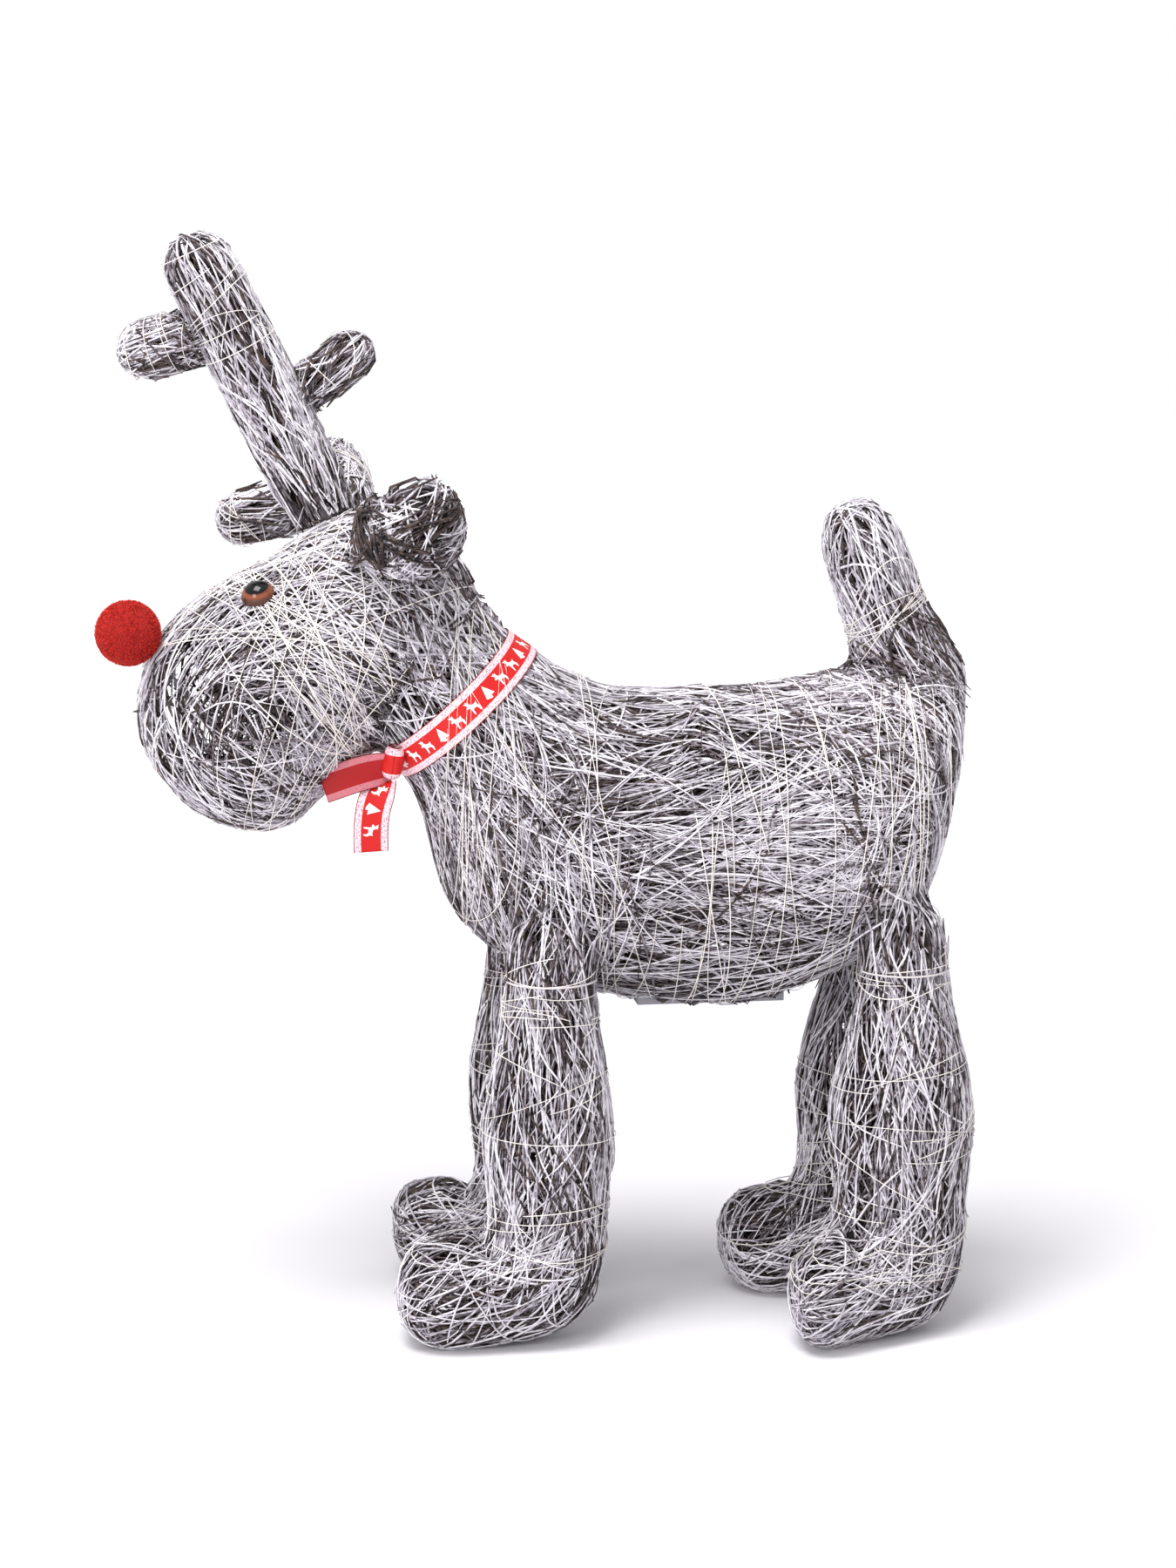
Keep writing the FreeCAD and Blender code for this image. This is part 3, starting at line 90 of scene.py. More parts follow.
def finish(names, made):
    """Gives CAD nodes one material."""
    for name in names:
        nodes[name].data.materials.clear()
        nodes[name].data.materials.append(made)


# Powder coat on wire: an even grey with a soft sheen.
coated_wire = plain("powder_coated_wire", "77747A", 0.5)
finish(("spine_wire", "front_leg_wire", "hind_leg_wire"), coated_wire)
finish(("left_antler_wire", "right_antler_wire", "head_hoops", "body_hoops"), coated_wire)

# ---------------------------------------------------------------- battery case in the belly
# Moulded ABS case for three small cells, with a hinged cover that one screw holds and a slide
# switch. It hangs in the belly with its cover just below the twigs.

# Moulded ABS with a fine spark-eroded face: light grey, dull.
finish(("battery_case", "battery_cover"), plain("moulded_abs", "8E8C92", 0.55))
# The switch knob is polished black ABS, so that it is easy to find.
finish(("switch_slider",), plain("black_abs", "1C1B1D", 0.35))
# Zinc-plated steel: a bright, slightly blurred mirror.
zinc_steel = plain("zinc_plated_steel", "C8CACD", 0.32, {"Metallic": 1.0})
finish(("hinge_pin", "cover_screw", "contact_springs"), zinc_steel)
# Printed shrink sleeve round each cell: a plain dark green film.
finish(("battery_cells",), plain("cell_sleeve", "2E4A3A", 0.3))
# Glass-epoxy board under green solder mask: an even, half-gloss green.
finish(("timer_board",), plain("solder_mask_board", "1F6B3F", 0.4))

# ---------------------------------------------------------------- light string
# Thin clear-sleeved wire with small lamps cast in clear resin, wound through the body. The
# lamps are off, so they only catch the light.

# Clear PVC over fine copper: a pale, slightly warm plastic.
finish(("light_lead",), plain("clear_pvc_lead", "CFC8C2", 0.35))
# Cast epoxy: clear, wet-looking, with a milky core.
cast_epoxy = plain("cast_epoxy", "F2EFE6", 0.12, {"Transmission Weight": 0.5, "IOR": 1.5})
finish(("light_lamps",), cast_epoxy)

# ---------------------------------------------------------------- trunk
# Body, chest and neck are one hollow form of thin painted twigs, wound in three lays over the
# hoops. Bundles run along the body and cross one another, and cream thread binds them.
TWIG_WIDE = 0.00125  # an outer twig's thickness
STEP = 0.009  # distance between the points of a strand
TIP_SHARE = 0.55  # a strand's tip is this thick for its middle
LOOK_OFF = 0.0006  # looks start this far off the skin
ASLANT = 1.2  # how far an aslant look leans for each unit outwards
PULL = 0.1  # how much of the form's own run a twig takes up at each step
WANDER = 0.05  # how far a twig strays at each step, in radians
WAVE = 0.0004  # how far a twig weaves up and down
TUCK = 0.0012  # how deep its first end is tucked in
PROUD = 0.0003  # the most that a lay's level lies above the skin
LOOSE_SHARE = 0.07  # share of twigs with one end standing off
CROSSING_SHARE = 0.14  # share of bundles that cross the others steeply
BEND = 7.0  # spread of a bundle's bend, in radians for each metre
OWN_BEND = 4.0  # spread of its twigs' bends about that
TONE = 0.13  # how far a bundle leans to the bright or the dark finishes
KINKED_SHARE = 0.05  # share of twigs that bend on their own
KINK = 30.0  # how sharply those bend at most, in radians for each metre
DRAFT = 1.0  # a draft is wound thinly
THREAD_TURN = 0.11  # angle between the points of a thread
THREAD_LIFT = 0.0011  # how far threads lie above the skin


def twig_finish(name, bright, dull, dark, worn):
    """Twig with a thin coat of paint. Noise as fine as bark wears it through to the darker colour."""

    def build(tree):
        place = add(tree, "ShaderNodeTexCoord").outputs["Object"]
        # Patches of paint are about 4 mm long, so 250 to the metre.
        bark = add(
            tree, "ShaderNodeTexNoise", {"Vector": place, "Scale": 250.0, "Detail": 2.0, "Roughness": 0.6}
        )
        shades = add(tree, "ShaderNodeValToRGB", {"Fac": bark.outputs["Fac"]})
        shades.color_ramp.elements[0].position = worn - 0.12
        shades.color_ramp.elements[0].color = colour(dark)
        shades.color_ramp.elements[1].position = worn + 0.02
        shades.color_ramp.elements[1].color = colour(dull)
        top = shades.color_ramp.elements.new(0.62)
        top.color = colour(bright)
        return {"Base Color": shades.outputs["Color"], "Roughness": 0.6, "Specular IOR Level": 0.35}

    return material(name, build)


# Matt emulsion on bark. The coat is thick on some twigs and nearly gone from others. The dark worn and bare
# finishes also serve as painted shade in the deep lays and in the ears.
twig_finishes = (
    twig_finish("thickly_painted_twig", "EEEAF0", "D2CCD4", "857A80", 0.34),
    twig_finish("thinly_painted_twig", "C6C0C9", "A29BA4", "584C50", 0.38),
    twig_finish("worn_paint_and_painted_shade_twig", "8F878F", "675D63", "33282A", 0.44),
    twig_finish("bare_bark_and_painted_shade_twig", "554640", "34292A", "1A1314", 0.46),
)
# Waxed cotton thread: an off-white with no shine.
cotton_thread = plain("waxed_cotton", "F3ECE6", 0.75)

# A three-sided section is enough for strands about a millimetre thick, and keeps them light.
strand_section = bpy.data.curves.new("strand_section", "CURVE")
strand_section.dimensions = "2D"
section_line = strand_section.splines.new("POLY")
section_line.points.add(2)
for number, point in enumerate(section_line.points):
    point.co = (math.cos(math.tau * number / 3), math.sin(math.tau * number / 3), 0, 1)
section_line.use_cyclic_u = True
section_holder = bpy.data.objects.new("strand_section", strand_section)


def strands(name, lines, finishes):
    """Thin strands as one piece. Each line is (points, radius, number of its finish)."""
    curve = bpy.data.curves.new(name, "CURVE")
    curve.dimensions = "3D"
    curve.bevel_mode = "OBJECT"
    curve.bevel_object = section_holder
    for made in finishes:
        curve.materials.append(made)
    for points, radius, kind in lines:
        spline = curve.splines.new("POLY")
        spline.points.add(len(points) - 1)
        spline.points.foreach_set("co", [value for point in points for value in (*point, 1.0)])
        tips = (0, len(points) - 1)
        thick = [radius * (TIP_SHARE if i in tips else 1.0) for i in range(len(points))]
        spline.points.foreach_set("radius", thick)
        spline.material_index = kind
    holder = bpy.data.objects.new(name, curve)
    bpy.context.collection.objects.link(holder)
    bpy.context.view_layer.update()
    mesh = bpy.data.meshes.new_from_object(holder.evaluated_get(bpy.context.evaluated_depsgraph_get()))
    bpy.data.objects.remove(holder)
    mesh.name = name
    piece = bpy.data.objects.new(name, mesh)
    bpy.context.collection.objects.link(piece)
    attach(piece, "reindeer")
    return piece


def outer_skin(mesh, within=None):
    """The outside of a wound form: a search tree, its triangles and their running areas.

    A triangle is outside where a look outwards, square to it or aslant, meets nothing. within
    may keep the places where bundles start to a part of the skin.
    """
    points = [v.co.copy() for v in mesh.vertices]
    whole = BVHTree.FromPolygons(points, [f.vertices for f in mesh.polygons])
    faces = []
    for face in mesh.polygons:
        eye = face.center + face.normal * LOOK_OFF
        aside = face.normal.orthogonal().normalized()
        looks = [face.normal]
        for _ in range(4):
            aside = Quaternion(face.normal, math.pi / 2) @ aside
            looks.append((face.normal + aside * ASLANT).normalized())
        if any(whole.ray_cast(eye, look)[0] is None for look in looks):
            faces.append(tuple(face.vertices))
    tree = BVHTree.FromPolygons(points, faces)
    corners = [[points[i] for i in face] for face in faces]
    if within:
        corners = [face for face in corners if within((face[0] + face[1] + face[2]) / 3)]
    areas = np.cumsum([(face[1] - face[0]).cross(face[2] - face[0]).length / 2 for face in corners])
    return tree, corners, areas


def spot_on(skin, dice):
    """A point anywhere on a skin, every bit of its area as likely."""
    _, corners, areas = skin
    face = corners[int(np.searchsorted(areas, dice.random() * areas[-1]))]
    u = math.sqrt(dice.random())
    v = dice.random()
    return face[0] * (1 - u) + face[1] * (u * (1 - v)) + face[2] * (u * v)


def along_skin(tree, start, way, length, curl, depth, heading, dice, padding=None):
    """A twig's line over a skin. It bends by curl for each metre and is drawn to the heading.

    padding may say how far the twigs are packed out from the skin at a place. Its first end
    is tucked in, the last stands off on a few twigs, and none dips into the ground.
    """
    line = []
    spot = start
    count = max(4, int(length / STEP))
    sway = dice.uniform(0, math.tau)
    loose = dice.uniform(0.001, 0.003) if dice.random() < LOOSE_SHARE else 0.0
    for i in range(count + 1):
        near, normal, _, gap = tree.find_nearest(spot)
        if near is None or gap > 0.5 * STEP:
            break
        share = i / count
        end = max(0.0, abs(2 * share - 1) - 0.8) / 0.2
        rise = WAVE * math.sin(sway + share * 9.0) + (loose if share > 0.5 else -TUCK) * end
        if padding:
            rise += padding(near, normal)
        place = near + normal * (rise - depth)
        place.z = max(place.z, 0.5 * TWIG_WIDE)
        line.append(place)
        way = way - normal * way.dot(normal)
        if way.length < 1e-6:
            break
        way.normalize()
        drawn = heading(near, normal)
        if drawn.dot(way) < 0:
            drawn = -drawn
        way = way + drawn * PULL
        way.rotate(Quaternion(normal, curl * STEP + dice.gauss(0, WANDER)))
        way.normalize()
        spot = near + way * STEP
    return line


def lay_bundles(
    skin, cover, heading, spread, length, depths, wide, shares, dice, lump, thin_spots=(), padding=None
):
    """Bundles of twigs over a skin, until they cover it this many times.

    lump is how far a bundle's twigs lie apart, and shares are the running shares of the finishes.
    """
    tree, _, areas = skin
    wanted = cover * float(areas[-1]) / wide
    laid = 0.0
    lines = []
    while laid < wanted:
        centre = spot_on(skin, dice)
        if any((centre - middle).length < wide_spot for middle, wide_spot in thin_spots):
            laid += 0.5 * length
            continue
        near, normal, _, _ = tree.find_nearest(centre)
        way = heading(near, normal)
        crossing = 3.0 if dice.random() < CROSSING_SHARE else 1.0
        way.rotate(Quaternion(normal, dice.gauss(0, spread * crossing)))
        side = normal.cross(way)
        curl = dice.gauss(0, BEND)
        depth = dice.uniform(*depths)
        reach = length * dice.uniform(0.6, 1.4)
        tone = dice.gauss(0, TONE)
        for _ in range(dice.randint(4, 13)):
            back = dice.gauss(0, 0.25) * reach - 0.5 * reach
            start = centre + side * dice.gauss(0, lump) + way * back
            own = way.copy()
            own.rotate(Quaternion(normal, dice.gauss(0, 0.1)))
            own_curl = curl + dice.gauss(0, OWN_BEND)
            if dice.random() < KINKED_SHARE:
                own_curl = dice.uniform(-KINK, KINK)
            radius = 0.5 * wide * dice.uniform(0.6, 1.35)
            own_length = reach * dice.uniform(0.5, 1.2)
            level = max(depth + dice.gauss(0, 0.0004), -PROUD)
            pick = dice.random() + tone
            kind = sum(pick > share for share in shares)
            line = along_skin(tree, start, own, own_length, own_curl, level, heading, dice, padding)
            if len(line) > 3:
                lines.append((line, radius, kind))
                laid += (len(line) - 1) * STEP
    return lines


# Each lay: its name, how many times it covers, its depth under the skin, how thick its twigs
# are and the running shares of the first three finishes.
# The deeper lays lean to the worn and bare finishes. Deep twigs take less paint, and their darkness also
# stands in as painted shade inside the hollow form.
LAYS = (
    ("inner", 1.25, (0.0034, 0.0062), 0.0017, (0.0, 0.04, 0.36)),
    ("middle", 0.8, (0.0014, 0.0034), 0.0014, (0.12, 0.42, 0.74)),
    ("outer", 1.0, (0.0, 0.0014), TWIG_WIDE, (0.5, 0.82, 0.94)),
)


def flat_to(way, normal):
    """A direction laid flat on a skin."""
    flat = way - normal * way.dot(normal)
    if flat.length < 0.15:
        flat = normal.orthogonal()
    return flat.normalized()


def wind(node, heading, spread, length, seed, lump=0.012, more=1.0, thin_spots=(), padding=None):
    """Winds a form in three lays of twigs, each a piece of its own."""
    dice = random.Random(seed)
    skin = outer_skin(nodes[node].data)
    for lay, cover, depths, wide, shares in LAYS:
        lines = lay_bundles(
            skin,
            cover * DRAFT * more,
            heading,
            spread,
            length,
            depths,
            wide,
            shares,
            dice,
            lump,
            thin_spots,
            padding,
        )
        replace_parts(strands(f"{node}_{lay}_twigs", lines, twig_finishes), node)
    return skin, dice


def object_of(name, shape, made=None):
    """An object from a finished shape, in one material."""
    mesh = bpy.data.meshes.new(name)
    shape.to_mesh(mesh)
    shape.free()
    if made:
        mesh.materials.append(made)
    piece = bpy.data.objects.new(name, mesh)
    bpy.context.collection.objects.link(piece)
    return piece


def joined_form(names):
    """Several forms as one, with the corners between them rounded out."""
    shape = bmesh.new()
    for name in names:
        shape.from_mesh(nodes[name].data)
    bmesh.ops.remove_doubles(shape, verts=shape.verts, dist=0.00001)
    holder = object_of("joined_form", shape)
    remesh = holder.modifiers.new("one_skin", "REMESH")
    remesh.mode = "VOXEL"
    remesh.voxel_size = 0.0045
    smooth = holder.modifiers.new("rounded_joins", "SMOOTH")
    smooth.factor = 0.6
    smooth.iterations = 14
    bpy.context.view_layer.update()
    made = bpy.data.meshes.new_from_object(holder.evaluated_get(bpy.context.evaluated_depsgraph_get()))
    bpy.data.objects.remove(holder)
    shape = bmesh.new()
    shape.from_mesh(made)
    bmesh.ops.triangulate(shape, faces=shape.faces)
    shape.to_mesh(made)
    shape.free()
    return made


def wind_over(name, form, within, heading, spread, length, seed, cover):
    """Two more lays over the place where two forms meet, so that no edge shows between them."""
    dice = random.Random(seed)
    skin = outer_skin(form, within)
    for lay, _, _, wide, shares in LAYS[1:]:
        lines = lay_bundles(
            skin, cover * DRAFT, heading, spread, length, (-0.0012, 0.0012), wide, shares, dice, 0.01
        )
        strands(f"{name}_{lay}_twigs", lines, twig_finishes)


def bind(node, skin, count, middle, axis, tilt, dice, reach=0.3):
    """Thread bound round a form, on top of its twigs."""
    tree = skin[0]
    lines = []
    for _ in range(count):
        normal = Vector(axis).normalized()
        turn = Quaternion(normal.orthogonal(), dice.gauss(0, tilt))
        turn.rotate(Quaternion(normal, dice.uniform(0, math.tau)))
        normal.rotate(turn)
        centre = middle(dice)
        first = normal.orthogonal().normalized()
        second = normal.cross(first)
        start = dice.uniform(0, math.tau)
        swept = dice.uniform(1.5, 5.5)
        line = []
        for i in range(int(swept / THREAD_TURN)):
            angle = start + THREAD_TURN * i
            out = first * math.cos(angle) + second * math.sin(angle)
            hit, face_normal, _, _ = tree.ray_cast(centre + out * reach, -out)
            if hit is None or (hit - centre).dot(out) < 0.004:
                break
            line.append(hit + face_normal * THREAD_LIFT)
        if len(line) > 4:
            lines.append((line, dice.uniform(0.00026, 0.00038), 0))
    if lines:
        strands(node + "_threads", lines, (cotton_thread,))


trunk_low, trunk_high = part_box("trunk")
side_middle = (trunk_low.y + trunk_high.y) / 2


def share_between(value, start, end):
    """0 at start, 1 at end, and in proportion between them."""
    return min(max((value - start) / (end - start), 0.0), 1.0)


def trunk_heading(spot, normal):
    """Twigs run along the back and belly, and turn down at the chest and the rump."""
    chest = share_between(spot.x, 0.035, -0.03)
    rump = share_between(spot.x, 0.19, 0.25)
    way = Vector((1, 0, 0.05)).lerp(Vector((0.55, 0, -0.85)), chest)
    return flat_to(way.lerp(Vector((0.1, 0, -1)), rump), normal)


BODY_RISE = 0.288  # height of the body's middle line
NECK_FROM = 0.03  # in front of this the line climbs into the neck
NECK_SLOPE = 0.75


def trunk_middle(dice):
    """A place on the body's own line."""
    share = dice.random()
    x = trunk_low.x + 0.05 + share * (trunk_high.x - trunk_low.x - 0.07)
    rise = BODY_RISE + max(0.0, NECK_FROM - x) * NECK_SLOPE
    return Vector((x, side_middle, rise))


# A few places on the flank and the belly are wound thinly enough to look through.
thin_places = tuple(
    (Vector((x, y, z)), wide)
    for x, z, wide in ((0.125, 0.245, 0.022), (0.165, 0.31, 0.014), (0.07, 0.25, 0.012), (0.1, 0.33, 0.01))
    for y in (trunk_low.y + 0.008, trunk_high.y - 0.008)
)


LOIN_PADDING = 0.0085  # how thick the twigs over the loin are packed at most


def loin_padding(spot, normal):
    """Twigs are packed out over the loin, so that the back runs in one curve."""
    rise = LOIN_PADDING * share_between(spot.x, 0.045, 0.086)
    return rise * share_between(spot.x, 0.105, 0.096) * share_between(normal.z, 0.1, 0.8)


trunk_skin, dice = wind(
    "trunk", trunk_heading, 0.36, 0.12, 1, thin_spots=thin_places, padding=loin_padding
)
bind("trunk", trunk_skin, 80, trunk_middle, (1, 0, 0), 0.2, dice)

# ---------------------------------------------------------------- legs
# Each leg is wound like a sock: down the shin, then forward round the foot. Thread bands tie
# its top to the belly, and twigs are wound over the join.
LEGS = ("front_left_leg", "front_right_leg", "hind_left_leg", "hind_right_leg")
body_form = joined_form(("trunk", "head", "tail") + LEGS)
for number, leg in enumerate(LEGS):
    low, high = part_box(leg)
    shin = Vector(((low.x + high.x) / 2 + 0.02, (low.y + high.y) / 2, 0))

    def leg_heading(spot, normal):
        """Down the shin, and along the foot below the ankle."""
        foot = share_between(spot.z, 0.085, 0.045)
        return flat_to(Vector((0.05, 0, -1)).lerp(Vector((-1, 0, -0.15)), foot), normal)

    def leg_middle(dice, shin=shin):
        """A place on the shin's line."""
        return shin + Vector((0, 0, dice.uniform(0.03, 0.24)))

    leg_skin, dice = wind(leg, leg_heading, 0.34, 0.1, 10 + number)

    def at_shoulder(place, low=low, high=high):
        """Where the leg's top lies against the body."""
        beside = low.y - 0.012 < place.y < high.y + 0.012
        level = high.z - 0.035 < place.z < high.z + 0.04
        return beside and level and low.x + 0.035 < place.x < high.x + 0.015

    wind_over(leg + "_shoulder", body_form, at_shoulder, leg_heading, 0.35, 0.09, 60 + number, 0.75)
    bind(leg, leg_skin, 30, leg_middle, (0, 0, 1), 0.28, dice)
# The bands are the same cotton, greyed by the paint that went over them.
finish(("leg_ties",), plain("painted_cotton", "C9C3C4", 0.7))

# ---------------------------------------------------------------- tail
# A round-ended stub of the same twigs, wound lengthwise. Its end is seated in the rump, with
# more twigs wound over the join.
tail_line = Vector((-0.45, 0, 0.89))
low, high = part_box("tail")
tail_middle = (low + high) / 2
tail_skin, dice = wind("tail", lambda spot, normal: flat_to(tail_line, normal), 0.36, 0.075, 20)
wind_over(
    "tail_root",
    body_form,
    lambda place: place.x > low.x - 0.01 and low.z - 0.02 < place.z < low.z + 0.035,
    lambda spot, normal: flat_to(tail_line, normal),
    0.45,
    0.07,
    70,
    0.9,
)
bind("tail", tail_skin, 14, lambda dice: tail_middle, tail_line, 0.4, dice)

# ---------------------------------------------------------------- head
# The muzzle is a ball of twigs wound round and round. Behind it they run back to the neck, and
# threads fan over the whole head from the crown to the chin.
head_low, head_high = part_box("head")
MUZZLE_RADIUS = 0.075
muzzle = Vector((head_low.x + MUZZLE_RADIUS, (head_low.y + head_high.y) / 2, head_low.z + MUZZLE_RADIUS))


def head_heading(spot, normal):
    """Round the muzzle's side, and back towards the neck behind it."""
    out = spot - muzzle
    round_it = Vector((out.z, 0, -out.x))
    behind = share_between(out.x, 0.02, 0.07)
    if round_it.length < 1e-4:
        round_it = Vector((1, 0, 0))
    round_it.normalize()
    back = Vector((0.9, 0, -0.4 if spot.z < 0.42 else -0.9))
    if round_it.dot(back) < 0:
        round_it = -round_it
    return flat_to(round_it.lerp(back, behind), normal)


head_middle = (head_low + head_high) / 2
# One place on each cheek is wound thinly.
cheek_places = tuple((muzzle + Vector((0.01, 0.068 * side, -0.02)), 0.011) for side in (-1, 1))
head_skin, dice = wind("head", head_heading, 0.5, 0.1, 2, thin_spots=cheek_places)
nape = Vector((-0.68, 0, 0.73))
collar_low, collar_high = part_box("ribbon_collar")
collar_middle = (collar_low + collar_high) / 2
wind_over(
    "nape",
    body_form,
    lambda place: 0.014 < (place - collar_middle).dot(nape) < 0.06,
    lambda spot, normal: flat_to(nape, normal),
    0.5,
    0.08,
    71,
    1.0,
)
bind("head", head_skin, 75, lambda dice: head_middle, (0.75, 0.2, 0.6), 0.8, dice)

# ---------------------------------------------------------------- antlers
# Straight wound bars with rounded ends, each beam on a wire that stands up from the head. The
# tines are wound apart and bound to the beam.


def own_lines(node):
    """A node's middle, and its own directions from the longest to the shortest."""
    cloud = np.array([tuple(v.co) for v in nodes[node].data.vertices])
    middle = cloud.mean(axis=0)
    rows = np.linalg.svd(cloud - middle, full_matrices=False)[2]
    return Vector(middle), [Vector(row) for row in rows]


for number, side in enumerate(("left", "right")):
    for part in ("antler_beam", "front_tine", "rear_tine"):
        name = f"{side}_{part}"
        middle, (line, _, _) = own_lines(name)
        antler_skin, dice = wind(
            name, lambda spot, normal: flat_to(line, normal), 0.3, 0.06, 30 + number, lump=0.007
        )
        bind(
            name,
            antler_skin,
            10,
            lambda dice: middle + line * dice.uniform(-0.04, 0.04),
            line,
            0.4,
            dice,
            reach=0.1,
        )

# ---------------------------------------------------------------- ears
# A wound pouch with an open mouth. Its twigs fan out from the gathered root and turn in over
# the lip.
LINED_FROM = 0.045  # the lining starts this far from the root

for number, side in enumerate(("left", "right")):
    low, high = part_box(side + "_ear")
    middle = (low + high) / 2
    outward = -1 if side == "left" else 1
    root = Vector((high.x - 0.01, middle.y, low.z))
    mouth = Vector((middle.x + 0.006, middle.y + outward * 0.018, high.z - 0.012))

    def ear_heading(spot, normal, root=root):
        """Out from the root."""
        return flat_to(spot - root, normal)

    _, dice = wind(
        side + "_ear", ear_heading, 0.5, 0.045, 40 + number, 0.006, 1.2, thin_spots=((mouth, 0.015),)
    )
    # The lining is bare twigs, whose darkest finish also stands as painted shade inside the pouch, and they
    # show dark through the mouth.
    wide_end = outer_skin(
        nodes[side + "_ear"].data, lambda place, root=root: (place - root).length > LINED_FROM
    )
    lining = lay_bundles(
        wide_end, 1.3, ear_heading, 0.8, 0.022, (0.006, 0.009), 0.0017, (0, 0, 0), dice, 0.004
    )
    strands(side + "_ear_lining", lining, twig_finishes)

# ---------------------------------------------------------------- eyes
# Toy safety eyes: a clear domed acrylic bead, painted behind with a copper ring and a black
# pupil. A washer pushed on the shank behind the twigs holds each one.
EYE_RADIUS = 0.0098

# Moulded nylon: off-white and dull.
finish(("left_eye_washer", "right_eye_washer"), plain("nylon_washer", "DAD7D2", 0.5))

for side in ("left", "right"):
    bead = np.array([tuple(v.co) for v in nodes[side + "_eye"].data.vertices])
    washer_middle, (_, _, axle) = own_lines(side + "_eye_washer")
    if axle.dot(Vector(bead.mean(axis=0)) - washer_middle) < 0:
        axle = -axle
    front = max((Vector(point) - washer_middle).dot(axle) for point in bead)
    eye_middle = washer_middle + axle * (front - 0.5 * EYE_RADIUS)
    # The pupil is painted a little high, so the ring shows widest below.
    pattern_middle = eye_middle + Vector((0.0002, 0, 0.0016))

    def painted_bead(tree, axle=axle, middle=pattern_middle):
        """Rings of paint round the bead's axis, under the clear coat of the acrylic."""
        place = add(tree, "ShaderNodeTexCoord").outputs["Object"]
        centred = add(
            tree,
            "ShaderNodeMapping",
            {"Vector": place, "Location": middle, "Rotation": axle.to_track_quat("Z", "Y").to_euler()},
            vector_type="TEXTURE",
        )
        flat = add(
            tree,
            "ShaderNodeVectorMath",
            {0: centred.outputs["Vector"], 1: (1 / EYE_RADIUS, 1 / EYE_RADIUS, 0)},
            operation="MULTIPLY",
        )
        far = add(tree, "ShaderNodeVectorMath", {0: flat.outputs["Vector"]}, operation="LENGTH")
        rings = add(tree, "ShaderNodeValToRGB", {"Fac": far.outputs["Value"]})
        stops = ((0.0, "030303"), (0.7, "050404"), (0.74, "6B3A28"), (0.87, "84492F"), (1.0, "4A281C"))
        elements = rings.color_ramp.elements
        while len(elements) < len(stops):
            elements.new(0.5)
        for element, (position, code) in zip(elements, stops):
            element.position = position
            element.color = colour(code)
        return {
            "Base Color": rings.outputs["Color"],
            "Roughness": 0.4,
            "Specular IOR Level": 0.0,
            "Coat Weight": 0.7,
            "Coat Roughness": 0.03,
            "Coat IOR": 1.49,
        }

    # Cast acrylic over paint: a hard bright highlight on a deep colour.
    finish((side + "_eye",), material(side + "_painted_acrylic", painted_bead))

# ---------------------------------------------------------------- nose
# A pom-pom of red acrylic yarn, cut round and tied through the twigs of the muzzle with its own
# yarn. Its pile is dense and short.
low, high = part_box("pompom_nose")
POMPOM_RADIUS = (high.x - low.x) / 2
pompom_middle = (low + high) / 2
PILE = 0.0022  # depth of the cut pile
YARN_ENDS = 12000
YARN_RADIUS = 0.00024

# Brushed acrylic yarn is dull. Its cut ends are painted in lit, middle and shaded copies of one red, as
# painted light, and the ground under them is a deep red painted as the shade within the pile.
yarn_in_pile_shade = plain("acrylic_yarn_shade_in_pile", "93100C", 0.95)
yarn_tips = (
    plain("acrylic_yarn_lit", "F5402E", 0.9),
    plain("acrylic_yarn_middle", "CE1C17", 0.9),
    plain("acrylic_yarn_shaded", "7E0A0B", 0.9),
)

shape = bmesh.new()
bmesh.ops.create_icosphere(shape, subdivisions=5, radius=POMPOM_RADIUS - PILE * 0.5)
for corner in shape.verts:
    # Tufts are about 9 mm across, and the ends in them 1.4 mm.
    lump = noise.noise(corner.co * 110.0) * 0.0007 + noise.noise(corner.co * 700.0) * 0.0003
    corner.co += corner.co.normalized() * lump
bmesh.ops.translate(shape, vec=pompom_middle, verts=shape.verts)
pompom = object_of("pompom_ball", shape, yarn_in_pile_shade)
pompom.data.shade_smooth()
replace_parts(pompom, "pompom_nose")
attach(pompom, "reindeer")

dice = random.Random(50)
pile = []
for _ in range(YARN_ENDS):
    out = Vector((dice.gauss(0, 1), dice.gauss(0, 1), dice.gauss(0, 1))).normalized()
    bent = (out + Vector((dice.gauss(0, 0.5), dice.gauss(0, 0.5), dice.gauss(0, 0.5)))).normalized()
    foot = pompom_middle + out * (POMPOM_RADIUS - PILE * 0.7)
    end = foot + bent * PILE * dice.uniform(0.45, 0.85)
    pile.append(((foot, end), YARN_RADIUS, dice.choice((0, 0, 1, 1, 2))))
strands("pompom_pile", pile, yarn_tips)
# The tie takes the same deep red, painted shade like the ground of the pile.
finish(("nose_tie",), yarn_in_pile_shade)

# ---------------------------------------------------------------- ribbon
# Woven grosgrain ribbon with pale speckled borders, tied once round the neck. Small reindeer and
# fir trees are printed in white along its red middle.
RIBBON_WIDE = 0.021
EDGE = 0.0100  # from the middle to the dark woven edge
BORDER = 0.0060  # from the middle to the pale border
RIB = 0.0011  # distance between ribs, drawn a little coarse so that they show
MOTIF_PITCH = 0.0125
LIFT = 0.00012  # how proud the print stands
CLOTH_THICK = 0.0004
OFF_RING = 0.0001  # the cloth lies this far off the solid ring
GRID = 0.0016  # distance between the points of a sheet, along it
RING_TURNS = 120  # places measured round the collar
RING_SHARE = 0.94  # its outer rows are measured this share of the way to its edges
PATH_POINTS = 40  # points of a hanging end's path


